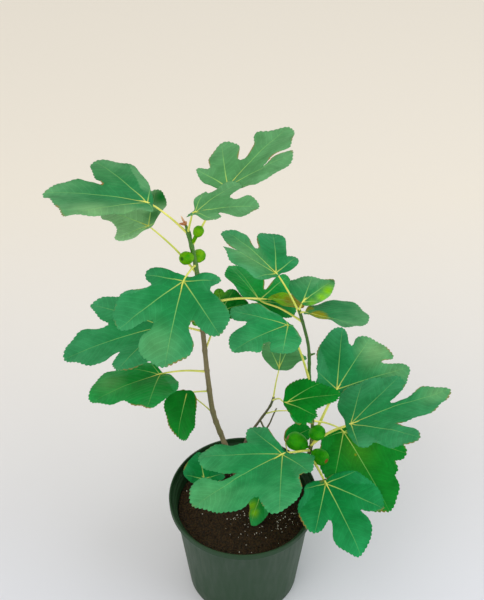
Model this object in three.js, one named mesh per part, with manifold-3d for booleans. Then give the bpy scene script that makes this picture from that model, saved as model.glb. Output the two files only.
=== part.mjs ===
// A young fig tree growing in a round nursery pot.
//
// Millimetres, +Z up. The origin is the middle of the pot's flat underside, +X is to the right of the side
// that shows the plant best, and +Y points away from that side.
//
// The tree has two stems on one root crown: a woody one that leans to the left, and a thinner one that
// arches low over the soil to the right and then stands up. A short side twig grows between them. Every
// leaf is a single blade, cut into rounded lobes, on its own long stalk.

import * as THREE from 'three';
import { mergeVertices } from 'three/addons/utils/BufferGeometryUtils.js';
import Module from 'manifold-3d';

const wasm = await Module();
wasm.setup();

// Pieces that touch on the real plant keep this gap.
const CLEAR = 0.3;

// The pot: a thin tapered wall with a thick rolled lip, and drain holes round the edge of its floor.
const POT_HEIGHT = 212;
const POT_BASE_RADIUS = 91;
const POT_TOP_RADIUS = 113;
const POT_WALL = 2.5;
const POT_FLOOR = 3;
const LIP_RADIUS = 121;
const LIP_HEIGHT = 12;
const LIP_ROUND = 2;
const POT_SIDES = 40;
const DRAIN_HOLES = 6;
const DRAIN_RADIUS = 7;
const DRAIN_CIRCLE = 71;
const DRAIN_SIDES = 10;

// The compost fills the pot to a finger's width below its lip.
const SOIL_LEVEL = 179;
const GROUND = SOIL_LEVEL + CLEAR;

// Stems are tapered limbs that start below the soil and are cut off flat at its surface.
const STEM_SIDES = 8;
const FLARE_LENGTH = 14;
const FOOT_CROWDING = 1.5;
const CURVE_STATIONS = 240;

const STEMS = {
  left_stem: {
    points: [[-5, 50, 168], [-7, 50, 179], [-31, 50, 284], [-47, 50, 353], [-54, 50, 428], [-60, 50, 536],
      [-66, 50, 657], [-72, 50, 706], [-77, 50, 738]],
    radius: 4.6,
    tip: 3.1,
    flare: 4.5,
    steps: 22,
    figs: [
      { from: 712, centre: [-62, 46, 743], radius: 7.5 },
      { from: 690, centre: [-81, 38, 699], radius: 9.5 },
      { from: 685, centre: [-63, 63, 681], radius: 9.5 },
      { from: 556, centre: [-70, 42, 568], radius: 6 },
    ],
    shoots: [{ from: 736, path: [[-82, 50, 758]], radius: 3.2, tip: 0.7 }],
    colour: '#6e6441',
  },
  right_arm: {
    points: [[12, 35, 165], [16, 36, 179], [30, 38, 192], [60, 44, 207], [88, 49, 222], [101, 50, 238],
      [105, 50, 248]],
    radius: 4,
    tip: 3.1,
    flare: 3,
    steps: 10,
    figs: [],
    shoots: [],
    cut_clear_of: 'right_stem',
    colour: '#6b5f45',
  },
  right_stem: {
    points: [[103, 50, 242], [109, 50, 265], [110, 50, 336], [102, 50, 433], [98, 50, 508], [82, 50, 585]],
    radius: 3,
    tip: 2.3,
    flare: 0,
    steps: 14,
    figs: [
      { from: 268, centre: [84, 54, 282], radius: 15 },
      { from: 304, centre: [119, 42, 317], radius: 12.5 },
      { from: 262, centre: [126, 32, 267], radius: 13 },
    ],
    shoots: [{ from: 488, path: [[108, 48, 494]], radius: 2, tip: 1.2 }],
    colour: '#3f5b2c',
  },
  side_twig: {
    points: [[-9, 53, 192], [-4, 72, 216], [4, 84, 246], [22, 84, 288], [43, 70, 350], [48, 62, 380]],
    radius: 2.4,
    tip: 1.8,
    flare: 0,
    steps: 9,
    figs: [],
    shoots: [{ from: 301, path: [[36, 80, 283], [53, 72, 341]], radius: 1.6, tip: 1.1 }],
    cut_clear_of: 'left_stem',
    colour: '#70604a',
  },
};

// A fig is a round belly whose back runs out into a short neck.
const FIG_SIDES = 8;
const FIG_RINGS = 7;
const FIG_NECK = 0.36;
const FIG_BACK = 0.65;

// A side shoot's rings for each point that it is led through.
const SHOOT_STEPS = 3;

// Leaf stalks are slim limbs that arch a little and run on into the blade as its midrib.
const STALK_SIDES = 6;
const STALK_STEPS = 5;
const STALK_RADIUS = 1.7;
const STALK_TAPER = 0.7;
const STALK_ARCH = 0.06;
const STALK_ROOT = 0.14;

// A blade is a shallow V along its midrib and droops towards its edge. Its shape is given as shares of the
// length of its midrib.
const BLADE_THICKNESS = 0.014;
const BLADE_RING = 0.5;
const FOLD = Math.tan(THREE.MathUtils.degToRad(10));
const FOLD_ROUND = 0.04;
const DROOP = 0.12;

// The notch at the stalk: how far the blade's edge stays from the stalk behind it.
const NOTCH = 0.08;

// The leaves: the height on the stem where the stalk leaves it, the blade's root, the compass heading of
// its midrib (0 is +X, 90 is +Y), its pitch above level, its roll (which lifts its left side), the length of
// the midrib, and the blade's edge, once round from the right side of the notch over the lobes to its left
// side, as an angle from the midrib in degrees (left is positive) and a share of the midrib's length.
const GREEN = '#34925a';
const SHADED = '#1f7d33';
const LEAVES = {
  left_stem: [
    { from: 736, root: [-67, 25, 795], heading: -15, pitch: 23, roll: -10, length: 95,
      edge: [[-128, 0.15], [-108, 0.13], [-88, 0.13], [-73, 0.14], [-58, 0.16], [-47, 0.45], [-37, 0.65],
        [-23, 0.56], [-16, 0.44], [-14, 0.86], [-12, 0.92], [0, 0.97], [5, 0.97], [11, 0.93], [21, 0.82],
        [22, 0.62], [33, 0.53], [37, 0.68], [43, 0.77], [48, 0.83], [54, 0.83], [62, 0.81], [70, 0.76],
        [73, 0.72], [74, 0.43], [79, 0.41], [90, 0.53], [101, 0.48], [104, 0.44], [105, 0.08],
        [128, 0.08]] },
    { from: 732, root: [-131, 50, 791], heading: 176, pitch: 10, roll: 18, length: 140,
      edge: [[-128, 0.09], [-109, 0.12], [-90, 0.33], [-85, 0.41], [-81, 0.44], [-79, 0.6], [-76, 0.71],
        [-67, 0.89], [-63, 0.93], [-52, 0.98], [-47, 0.93], [-43, 0.85], [-33, 0.64], [-26, 0.51],
        [-23, 0.79], [-16, 0.92], [-4, 1.02], [18, 0.9], [42, 0.98], [59, 0.66], [64, 0.57], [81, 0.28],
        [94, 0.26], [108, 0.25], [128, 0.09]] },
    { from: 710, root: [-22, 85, 790], heading: 48, pitch: 20, roll: -23, length: 128,
      edge: [[-128, 0.08], [-108, 0.11], [-88, 0.19], [-79, 0.47], [-73, 0.46], [-62, 0.7], [-57, 0.76],
        [-48, 0.8], [-40, 0.81], [-34, 0.8], [-33, 0.79], [-32, 0.47], [-26, 0.6], [-25, 0.8],
        [-10, 0.93], [-3, 1], [3, 1.02], [19, 0.88], [20, 0.42], [29, 0.41], [31, 0.6], [36, 0.69],
        [45, 0.77], [51, 0.78], [57, 0.74], [63, 0.69], [68, 0.6], [72, 0.45], [80, 0.6], [84, 0.61],
        [94, 0.45], [103, 0.32], [115, 0.15], [128, 0.09]] },
    { from: 675, root: [-84, 15, 677], heading: -103, pitch: -13, roll: 10, length: 133,
      edge: [[-128, 0.16], [-124, 0.23], [-116, 0.3], [-100, 0.43], [-93, 0.43], [-84, 0.4], [-71, 0.32],
        [-69, 0.64], [-63, 0.73], [-58, 0.78], [-52, 0.83], [-40, 0.86], [-36, 0.81], [-32, 0.73],
        [-26, 0.55], [-21, 0.54], [-19, 0.9], [-14, 0.95], [-4, 0.99], [1, 0.99], [7, 0.97], [14, 0.92],
        [19, 0.87], [20, 0.55], [24, 0.52], [33, 0.74], [36, 0.8], [41, 0.86], [54, 0.77], [58, 0.71],
        [61, 0.63], [70, 0.34], [76, 0.34], [83, 0.4], [90, 0.43], [97, 0.4], [105, 0.34], [113, 0.25],
        [128, 0.09]] },
    { from: 657, root: [-133, 60, 740], heading: 143, pitch: -2, roll: -8, length: 83,
      edge: [[-128, 0.09], [-110, 0.13], [-91, 0.5], [-82, 0.61], [-70, 0.76], [-61, 0.81], [-52, 0.78],
        [-40, 0.62], [-29, 0.6], [-18, 0.82], [-8, 0.95], [3, 1], [10, 0.96], [17, 0.85], [22, 0.64],
        [36, 0.52], [56, 0.55], [65, 0.62], [74, 0.58], [91, 0.33], [109, 0.12], [128, 0.09]] },
    { from: 594, root: [38, 88, 570], heading: -5, pitch: 3, roll: -25, length: 50, stalk: 2,
      colour: '#b98a2c',
      edge: [[-128, 0.08], [-108, 0.09], [-88, 0.11], [-71, 0.15], [-53, 0.35], [-48, 0.8], [-41, 1.1],
        [-29, 1.14], [-14, 1.1], [-2, 1.08], [12, 1.07], [22, 1.04], [31, 0.84], [50, 0.57], [66, 0.38],
        [82, 0.3], [102, 0.13], [115, 0.1], [128, 0.08]] },
    { from: 540, root: [-119, 60, 541], heading: -160, pitch: 2, roll: 13, length: 151,
      edge: [[-128, 0.09], [-115, 0.13], [-101, 0.28], [-85, 0.33], [-75, 0.56], [-67, 0.73], [-59, 0.83],
        [-54, 0.87], [-49, 0.88], [-35, 0.66], [-26, 0.53], [-23, 0.58], [-22, 0.79], [-20, 0.84],
        [-10, 0.96], [-1, 1.02], [14, 0.91], [25, 0.83], [26, 0.59], [29, 0.58], [33, 0.77], [42, 0.87],
        [46, 0.84], [59, 0.72], [67, 0.61], [87, 0.16], [107, 0.1], [128, 0.08]] },
    { from: 496, root: [-32, 84, 549], heading: 20, pitch: 10, roll: -10, length: 42, stalk: 1.6,
      colour: SHADED,
      edge: [[-128, 0.1], [-110, 0.2], [-95, 0.37], [-83, 0.71], [-71, 0.86], [-58, 0.95], [-40, 0.98],
        [-15, 0.97], [5, 1.01], [20, 1], [32, 1.02], [44, 1.14], [56, 1.2], [66, 0.99], [76, 1.24],
        [86, 1.12], [94, 0.92], [105, 0.59], [115, 0.26], [128, 0.1]] },
    { from: 450, root: [-126, 35, 463], heading: -146, pitch: 13, roll: 20, length: 118,
      edge: [[-128, 0.09], [-105, 0.25], [-96, 0.36], [-80, 0.42], [-66, 0.47], [-52, 0.5], [-38, 0.7],
        [-29, 0.79], [-13, 0.95], [-8, 1], [-2, 1], [9, 0.98], [17, 0.94], [23, 0.84], [35, 0.92],
        [42, 0.92], [48, 1.06], [52, 1.03], [55, 0.94], [62, 0.88], [78, 0.63], [88, 0.44], [95, 0.3],
        [111, 0.14], [128, 0.09]] },
    { from: 405, root: [-87, 40, 412], heading: -121, pitch: -56, roll: 18, length: 73, stalk: 1.4,
      edge: [[-128, 0.08], [-108, 0.11], [-93, 0.17], [-77, 0.33], [-63, 0.49], [-53, 0.62], [-40, 0.74],
        [-20, 0.91], [-3, 1], [5, 1.03], [14, 1], [22, 0.94], [28, 0.82], [40, 0.72], [55, 0.53],
        [70, 0.44], [83, 0.35], [96, 0.31], [112, 0.23], [128, 0.2]] },
    { from: 353, root: [-86, 66, 382], heading: -130, pitch: -50, roll: 10, length: 44, stalk: 1.2,
      colour: SHADED,
      edge: [[-128, 0.1], [-114, 0.15], [-100, 0.3], [-88, 0.36], [-75, 0.5], [-63, 0.57], [-50, 0.72],
        [-29, 0.88], [-12, 0.98], [0, 1], [12, 0.98], [29, 0.88], [50, 0.72], [62, 0.58], [75, 0.5],
        [87, 0.37], [100, 0.3], [114, 0.15], [128, 0.1]] },
  ],
  right_stem: [
    { from: 583, root: [87, 55, 597], heading: 48, pitch: 17, roll: 10, length: 64, stalk: 1.6,
      edge: [[-128, 0.09], [-110, 0.14], [-95, 0.18], [-80, 0.26], [-67, 0.31], [-54, 0.42], [-38, 0.64],
        [-20, 0.86], [-11, 0.94], [-5, 0.86], [3, 0.74], [19, 0.67], [36, 0.64], [48, 0.61], [56, 0.58],
        [66, 0.61], [80, 0.48], [94, 0.34], [112, 0.2], [128, 0.1]] },
    { from: 578, root: [94, 38, 590], heading: -22, pitch: 10, roll: -26, length: 95, stalk: 1.5,
      edge: [[-128, 0.08], [-108, 0.07], [-88, 0.08], [-68, 0.1], [-48, 0.15], [-25, 0.44], [-23, 0.75],
        [-12, 0.81], [0, 0.84], [13, 0.92], [22, 0.94], [46, 0.88], [68, 0.86], [73, 0.76], [75, 0.6],
        [82, 0.52], [96, 0.32], [110, 0.24], [128, 0.11]] },
    { from: 570, root: [47, 60, 650], heading: 138, pitch: 17, roll: 21, length: 104,
      edge: [[-128, 0.08], [-106, 0.29], [-100, 0.42], [-92, 0.53], [-85, 0.57], [-79, 0.52], [-72, 0.41],
        [-65, 0.73], [-62, 0.84], [-57, 0.87], [-50, 0.87], [-40, 0.86], [-35, 0.81], [-29, 0.73],
        [-26, 0.56], [-21, 0.49], [-16, 0.48], [-14, 0.83], [-13, 0.91], [-10, 0.97], [-5, 1.02],
        [4, 0.96], [11, 0.86], [21, 0.59], [22, 0.76], [25, 0.82], [48, 0.73], [55, 0.69], [70, 0.54],
        [83, 0.5], [92, 0.42], [101, 0.3], [107, 0.14], [128, 0.09]] },
    { from: 560, root: [24, 95, 561], heading: 102, pitch: 0, roll: 27, length: 90,
      edge: [[-128, 0.55], [-118, 0.61], [-104, 0.66], [-92, 0.66], [-74, 0.6], [-64, 0.76], [-54, 0.95],
        [-47, 1.12], [-43, 1.17], [-39, 1.12], [-35, 0.9], [-33, 0.37], [-28, 0.36], [-20, 0.72],
        [-10, 0.86], [0, 0.93], [14, 0.93], [26, 0.86], [50, 0.72], [58, 0.67], [64, 0.61], [69, 0.49],
        [88, 0.37], [108, 0.32], [119, 0.2], [128, 0.11]] },
    { from: 432, root: [65, 20, 584], heading: -143, pitch: 14, roll: 8, length: 101, stalk: 2,
      edge: [[-128, 0.08], [-115, 0.09], [-101, 0.1], [-92, 0.35], [-84, 0.59], [-69, 0.75], [-59, 0.84],
        [-51, 0.86], [-44, 0.83], [-39, 0.78], [-33, 0.58], [-26, 0.63], [-24, 0.75], [-19, 0.85],
        [-13, 0.93], [-6, 0.99], [0, 1], [7, 0.98], [21, 0.88], [22, 0.58], [25, 0.56], [27, 0.66],
        [31, 0.77], [38, 0.83], [44, 0.85], [52, 0.8], [59, 0.71], [68, 0.57], [75, 0.42], [82, 0.26],
        [86, 0.12], [106, 0.09], [128, 0.08]] },
    { from: 336, root: [166, 96, 256], heading: -57, pitch: -19, roll: -5, length: 142,
      colour: SHADED,
      edge: [[-128, 0.09], [-113, 0.14], [-98, 0.31], [-77, 0.44], [-68, 0.55], [-62, 0.62], [-53, 0.67],
        [-45, 0.7], [-27, 0.71], [-22, 0.82], [-16, 0.92], [-11, 0.98], [0, 1.05], [5, 1.02], [16, 0.9],
        [19, 0.84], [21, 0.75], [24, 0.77], [28, 0.75], [31, 0.67], [37, 0.76], [43, 0.78], [48, 0.76],
        [55, 0.66], [64, 0.45], [79, 0.23], [99, 0.11], [113, 0.09], [128, 0.08]] },
    { from: 285, root: [152, 115, 339], heading: 49, pitch: 18, roll: 2, length: 114, stalk: 2.8,
      edge: [[-128, 0.1], [-108, 0.28], [-101, 0.28], [-84, 0.4], [-67, 0.77], [-58, 0.92], [-50, 0.99],
        [-36, 1.08], [-31, 1.01], [-27, 0.91], [-21, 0.74], [-20, 0.95], [-19, 0.97], [-10, 0.98],
        [-1, 0.98], [8, 0.98], [14, 0.95], [19, 0.89], [21, 0.72], [25, 0.77], [27, 0.88], [29, 0.98],
        [33, 1.03], [38, 1.01], [44, 0.93], [52, 0.81], [65, 0.62], [73, 0.46], [79, 0.45], [82, 0.38],
        [98, 0.31], [106, 0.34], [128, 0.1]] },
    { from: 277, root: [168, 18, 366], heading: 2, pitch: 29, roll: -16, length: 160, stalk: 2.6,
      edge: [[-128, 0.08], [-112, 0.1], [-95, 0.19], [-76, 0.53], [-68, 0.59], [-62, 0.57], [-56, 0.83],
        [-50, 0.92], [-41, 0.96], [-37, 0.9], [-34, 0.81], [-33, 0.64], [-29, 0.55], [-26, 0.65],
        [-20, 0.76], [-12, 0.88], [6, 1.02], [13, 0.88], [14, 0.44], [18, 0.42], [22, 0.44], [24, 0.6],
        [32, 0.68], [42, 0.71], [59, 0.65], [77, 0.61], [93, 0.58], [104, 0.51], [111, 0.4], [117, 0.29],
        [128, 0.11]] },
    { from: 262, root: [62, 3, 311], heading: -139, pitch: 7, roll: 19, length: 171, stalk: 2,
      arch: 0.01,
      edge: [[-128, 0.08], [-121, 0.2], [-114, 0.46], [-105, 0.52], [-97, 0.52], [-90, 0.49], [-82, 0.44],
        [-72, 0.36], [-63, 0.46], [-62, 0.6], [-59, 0.65], [-52, 0.76], [-46, 0.78], [-40, 0.77],
        [-33, 0.72], [-22, 0.6], [-18, 0.5], [-17, 0.93], [-12, 0.98], [-7, 0.99], [11, 0.93], [18, 0.9],
        [24, 0.8], [25, 0.71], [29, 0.67], [36, 0.84], [40, 0.92], [46, 0.94], [50, 0.92], [59, 0.77],
        [63, 0.68], [66, 0.47], [78, 0.5], [85, 0.46], [101, 0.36], [117, 0.32], [123, 0.21], [128, 0.09]] },
    { from: 250, root: [130, -35, 285], heading: -62, pitch: -17, roll: -5, length: 124, stalk: 2.6,
      edge: [[-128, 0.08], [-119, 0.18], [-107, 0.27], [-95, 0.33], [-84, 0.35], [-78, 0.47], [-71, 0.56],
        [-63, 0.64], [-51, 0.7], [-41, 0.72], [-34, 0.66], [-24, 0.47], [-22, 0.48], [-21, 0.74],
        [-18, 0.82], [-11, 0.91], [-4, 0.99], [0, 0.99], [14, 0.87], [22, 0.78], [28, 0.52], [31, 0.62],
        [37, 0.74], [42, 0.8], [52, 0.75], [71, 0.57], [88, 0.43], [102, 0.29], [115, 0.17], [128, 0.1]] },
  ],
  right_arm: [
    { from: 214, root: [70, 71, 263], heading: 35, pitch: 5, roll: 12, length: 47, stalk: 1.3,
      colour: SHADED,
      edge: [[-128, 0.08], [-108, 0.09], [-88, 0.12], [-72, 0.17], [-56, 0.3], [-44, 0.44], [-40, 0.64],
        [-32, 0.8], [-18, 0.93], [-3, 1.06], [7, 1.01], [17, 0.93], [26, 0.83], [34, 0.69], [46, 0.5],
        [59, 0.34], [79, 0.17], [99, 0.11], [113, 0.09], [128, 0.08]] },
    { from: 191, root: [-64, 32, 212], heading: 126, pitch: 15, roll: 2, length: 51, stalk: 1.2,
      arch: -0.02, colour: SHADED,
      edge: [[-145, 0.2], [-136, 0.39], [-128, 0.57], [-118, 0.68], [-105, 0.64], [-88, 0.55], [-62, 0.52],
        [-45, 0.65], [-36, 0.83], [-30, 0.97], [-23, 1.01], [-15, 0.93], [7, 0.8], [37, 0.72],
        [50, 0.67], [61, 0.6], [74, 0.51], [84, 0.46], [88, 0.32], [99, 0.2], [140, 0.08]] },
    { from: 199, root: [31, 5, 212], heading: -103, pitch: -12, roll: 23, length: 57, stalk: 1.2,
      colour: '#5aa32c',
      edge: [[-128, 0.08], [-108, 0.09], [-88, 0.13], [-73, 0.19], [-57, 0.52], [-37, 0.51], [-25, 0.61],
        [-21, 0.75], [-10, 1.02], [0, 0.99], [14, 0.92], [25, 0.81], [34, 0.66], [48, 0.42], [70, 0.25],
        [90, 0.13], [109, 0.09], [128, 0.08]] },
  ],
  side_twig: [
    { from: 375, root: [55, 56, 454], heading: 90, pitch: 40, roll: 0, length: 68, stalk: 1.3,
      colour: '#5f8f6a',
      edge: [[-128, 0.09], [-110, 0.2], [-92, 0.31], [-79, 0.37], [-74, 0.45], [-73, 0.65], [-69, 0.67],
        [-58, 0.58], [-42, 0.63], [-25, 0.72], [-6, 0.8], [10, 0.78], [25, 0.68], [40, 0.58], [52, 0.5],
        [62, 0.38], [81, 0.19], [100, 0.14], [114, 0.1], [128, 0.09]] },
    { from: 370, root: [65, 4, 433], heading: 8, pitch: 14, roll: -3, length: 80, stalk: 1.4,
      colour: SHADED,
      edge: [[-128, 0.08], [-109, 0.11], [-90, 0.29], [-76, 0.62], [-70, 0.76], [-65, 0.77], [-48, 0.77],
        [-36, 0.62], [-32, 0.7], [-21, 0.82], [-12, 0.94], [-3, 1.02], [2, 1], [22, 0.76], [29, 0.67],
        [44, 0.62], [58, 0.54], [70, 0.43], [82, 0.3], [102, 0.12], [115, 0.1], [128, 0.08]] },
    { from: 322, root: [76, 46, 364], heading: -10, pitch: -25, roll: 0, length: 44, stalk: 1.2,
      colour: '#6f9f6c',
      edge: [[-128, 0.11], [-112, 0.16], [-95, 0.32], [-83, 0.38], [-70, 0.5], [-58, 0.53], [-45, 0.6],
        [-22, 0.5], [-12, 0.8], [0, 1], [12, 0.8], [22, 0.5], [45, 0.6], [57, 0.53], [70, 0.5],
        [82, 0.38], [95, 0.32], [111, 0.16], [128, 0.11]] },
  ],
};

// A closed mesh from a geometry class, as a solid that can be joined and cut. A lathe's triangles that have
// shrunk to nothing on its axis are dropped.
function solid(geometry) {
  const bare = geometry.clone();
  bare.deleteAttribute('normal');
  bare.deleteAttribute('uv');
  const merged = mergeVertices(bare, 1e-4);
  const corners = merged.index.array;
  const kept = [];
  for (let i = 0; i < corners.length; i += 3) {
    const [a, b, c] = corners.subarray(i, i + 3);
    if (a !== b && b !== c && c !== a) kept.push(a, b, c);
  }
  return new wasm.Manifold(new wasm.Mesh({
    numProp: 3,
    vertProperties: new Float32Array(merged.attributes.position.array),
    triVerts: new Uint32Array(kept),
  }));
}

// The named mesh of a finished solid.
function piece(name, body, look) {
  const { vertProperties, triVerts } = body.getMesh();
  const geometry = new THREE.BufferGeometry();
  geometry.setAttribute('position', new THREE.BufferAttribute(vertProperties, 3));
  geometry.setIndex(new THREE.BufferAttribute(triVerts, 1));
  geometry.computeVertexNormals();
  const mesh = new THREE.Mesh(geometry, new THREE.MeshStandardMaterial(look));
  mesh.name = name;
  return mesh;
}

// The largest body of a cut solid, without the loose scraps that a cut can leave.
function whole(body) {
  return body.decompose().reduce((most, next) => (next.volume() > most.volume() ? next : most));
}

function vector([x, y, z]) {
  return new THREE.Vector3(x, y, z);
}

// A solid turned about the vertical axis, from [radius, height] pairs that start and end on it.
function turned(profile, sides) {
  const geometry = new THREE.LatheGeometry(profile.map(([r, z]) => new THREE.Vector2(r, z)), sides);
  return solid(geometry.rotateX(Math.PI / 2));
}

// The inside radius of the pot's wall at a height above its underside.
function potInside(height) {
  return THREE.MathUtils.lerp(POT_BASE_RADIUS, POT_TOP_RADIUS, height / POT_HEIGHT) - POT_WALL;
}

function pot() {
  const lipFoot = POT_HEIGHT - LIP_HEIGHT;
  const wall = turned([
    [0, 0],
    [POT_BASE_RADIUS - LIP_ROUND, 0],
    [POT_BASE_RADIUS, LIP_ROUND],
    [potInside(lipFoot) + POT_WALL, lipFoot],
    [LIP_RADIUS - LIP_ROUND, lipFoot + LIP_ROUND],
    [LIP_RADIUS, POT_HEIGHT - LIP_ROUND],
    [LIP_RADIUS - LIP_ROUND, POT_HEIGHT],
    [potInside(POT_HEIGHT), POT_HEIGHT],
    [potInside(POT_FLOOR), POT_FLOOR],
    [0, POT_FLOOR],
  ], POT_SIDES);
  let drained = wall;
  for (let i = 0; i < DRAIN_HOLES; i++) {
    const angle = (i + 0.5) * 2 * Math.PI / DRAIN_HOLES;
    const drill = new THREE.CylinderGeometry(DRAIN_RADIUS, DRAIN_RADIUS, 4 * POT_FLOOR, DRAIN_SIDES);
    drill.rotateX(Math.PI / 2);
    drill.translate(DRAIN_CIRCLE * Math.cos(angle), DRAIN_CIRCLE * Math.sin(angle), 0);
    drained = drained.subtract(solid(drill));
  }
  return drained;
}

function compost() {
  const low = POT_FLOOR + CLEAR;
  const gap = 2 * CLEAR;
  return turned([
    [0, low],
    [potInside(low) - gap, low],
    [potInside(SOIL_LEVEL) - gap, SOIL_LEVEL],
    [0, SOIL_LEVEL],
  ], POT_SIDES);
}

// A limb: a cylinder whose rings are moved out along a curve, each to its own radius. A crowding above 1
// draws the rings together towards its foot.
function limb(curve, radiusAt, { sides, steps, crowding = 1 }) {
  const geometry = new THREE.CylinderGeometry(1, 1, 1, sides, steps);
  const frames = curve.computeFrenetFrames(CURVE_STATIONS);
  const position = geometry.attributes.position;
  for (let i = 0; i < position.count; i++) {
    const share = (position.getY(i) + 0.5) ** crowding;
    const station = Math.round(share * CURVE_STATIONS);
    const radius = radiusAt(station / CURVE_STATIONS);
    const point = curve.getPointAt(station / CURVE_STATIONS);
    point.addScaledVector(frames.binormals[station], radius * position.getX(i));
    point.addScaledVector(frames.normals[station], radius * position.getZ(i));
    position.setXYZ(i, point.x, point.y, point.z);
  }
  return solid(geometry);
}

function curveThrough(points) {
  return new THREE.CatmullRomCurve3(points.map(vector));
}

// The point of a rising stem's centre line at a height.
function pointAtHeight(curve, height) {
  const points = curve.getSpacedPoints(CURVE_STATIONS);
  return points.find((point) => point.z >= height) ?? points[CURVE_STATIONS];
}

// A stem with its figs and side shoots, grown fatter by a margin.
function stemBody({ points, radius, tip, flare, steps, figs, shoots }, margin) {
  const curve = curveThrough(points);
  const length = curve.getLength();
  const radiusAt = (t) => margin + THREE.MathUtils.lerp(radius, tip, t)
    + flare * Math.exp(-t * length / FLARE_LENGTH);
  let body = limb(curve, radiusAt, { sides: STEM_SIDES, steps, crowding: FOOT_CROWDING });
  for (const { from, centre, radius: belly } of figs) {
    body = body.add(fig(pointAtHeight(curve, from), vector(centre), belly + margin));
  }
  for (const { from, path, radius: root, tip: end } of shoots) {
    const line = new THREE.CatmullRomCurve3([pointAtHeight(curve, from), ...path.map(vector)]);
    const taper = (t) => margin + THREE.MathUtils.lerp(root, end, t);
    body = body.add(limb(line, taper, { sides: STALK_SIDES, steps: SHOOT_STEPS * path.length }));
  }
  return body;
}

// A fig, from the point where its neck leaves the stem to its belly.
function fig(start, centre, radius) {
  const reach = start.distanceTo(centre);
  const profile = [new THREE.Vector2(0, 0)];
  for (let i = 0; i < FIG_RINGS; i++) {
    const along = (reach + 0.97 * radius) * i / (FIG_RINGS - 1);
    const ahead = (along - reach) * (along < reach ? FIG_BACK : 1);
    const belly = Math.sqrt(Math.max(0, radius ** 2 - ahead ** 2));
    profile.push(new THREE.Vector2(Math.max(FIG_NECK * radius, belly), along));
  }
  profile.push(new THREE.Vector2(0, reach + radius));
  const geometry = new THREE.LatheGeometry(profile, FIG_SIDES);
  const axis = centre.clone().sub(start).normalize();
  geometry.applyQuaternion(new THREE.Quaternion().setFromUnitVectors(new THREE.Vector3(0, 1, 0), axis));
  geometry.translate(start.x, start.y, start.z);
  return solid(geometry);
}

// Everything below the soil's surface.
function belowGround() {
  const size = 2 * LIP_RADIUS;
  return solid(new THREE.BoxGeometry(size, size, size).translate(0, 0, GROUND - size / 2));
}

// The blade's edge as [angle in radians, distance] pairs, closed behind the stalk.
function edge(leaf) {
  return [...leaf.edge, [180, NOTCH]]
    .map(([angle, share]) => [THREE.MathUtils.degToRad(angle), share * leaf.length]);
}

// Takes a point of the flat blade, x along the midrib and y to its left, and a height above the blade, to
// its place on the plant.
function bladeSurface({ root, heading, pitch, roll, length }) {
  const [turn, climb, bank] = [heading, pitch, roll].map(THREE.MathUtils.degToRad);
  const along = new THREE.Vector3(
    Math.cos(turn) * Math.cos(climb), Math.sin(turn) * Math.cos(climb), Math.sin(climb));
  const level = new THREE.Vector3(-Math.sin(turn), Math.cos(turn), 0);
  const left = level.clone().applyAxisAngle(along, bank);
  const up = along.clone().cross(left);
  const crease = FOLD_ROUND * length;
  return (x, y, height) => {
    const fold = FOLD * (Math.hypot(y, crease) - crease);
    const droop = DROOP * (x * x + y * y) / length;
    return vector(root)
      .addScaledVector(along, x)
      .addScaledVector(left, y)
      .addScaledVector(up, fold - droop + height);
  };
}

// The blade: a lens turned on a lathe, with each column of its points drawn out to the leaf's edge.
function blade(leaf) {
  const outline = edge(leaf);
  const place = bladeSurface(leaf);
  const half = leaf.length * BLADE_THICKNESS / 2;
  const lens = [[0, -half], [BLADE_RING, -half], [1, 0], [BLADE_RING, half], [0, half]];
  const geometry = new THREE.LatheGeometry(lens.map(([r, h]) => new THREE.Vector2(r, h)), outline.length);
  const position = geometry.attributes.position;
  for (let i = 0; i < position.count; i++) {
    const [angle, reach] = outline[Math.floor(i / lens.length) % outline.length];
    const [share, height] = lens[i % lens.length];
    const point = place(share * reach * Math.cos(angle), share * reach * Math.sin(angle), height);
    position.setXYZ(i, point.x, point.y, point.z);
  }
  return solid(geometry);
}

// The leaf's stalk, from the middle of its stem to well inside the blade.
function stalk(leaf, stemCurve) {
  const start = pointAtHeight(stemCurve, leaf.from);
  const root = vector(leaf.root);
  const middle = start.clone().lerp(root, 0.5);
  middle.z += (leaf.arch ?? STALK_ARCH) * start.distanceTo(root);
  const sunk = bladeSurface(leaf)(STALK_ROOT * leaf.length, 0, 0);
  const thick = leaf.stalk ?? STALK_RADIUS;
  const radiusAt = (t) => thick * THREE.MathUtils.lerp(1, STALK_TAPER, t);
  const curve = new THREE.CatmullRomCurve3([start, middle, root, sunk]);
  return limb(curve, radiusAt, { sides: STALK_SIDES, steps: STALK_STEPS });
}

const group = new THREE.Group();
group.add(piece('pot', pot(), { color: '#47564a', roughness: 0.55, metalness: 0 }));
group.add(piece('compost', compost(), { color: '#2d2016', roughness: 1, metalness: 0 }));

const soil = belowGround();
const fattened = {};
for (const [name, stem] of Object.entries(STEMS)) {
  fattened[name] = stemBody(stem, CLEAR);
}
for (const [name, stem] of Object.entries(STEMS)) {
  let body = stemBody(stem, 0).subtract(soil);
  if (stem.cut_clear_of) body = body.subtract(fattened[stem.cut_clear_of]);
  group.add(piece(name, whole(body), { color: stem.colour, roughness: 0.8, metalness: 0 }));
}

for (const [stemName, leaves] of Object.entries(LEAVES)) {
  const stemCurve = curveThrough(STEMS[stemName].points);
  leaves.forEach((leaf, i) => {
    const body = blade(leaf).add(stalk(leaf, stemCurve)).subtract(fattened[stemName]);
    const name = `${stemName.replace('_stem', '')}_leaf_${i + 1}`;
    group.add(piece(name, whole(body), { color: leaf.colour ?? GREEN, roughness: 0.6, metalness: 0 }));
  });
}

export default group;
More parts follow.
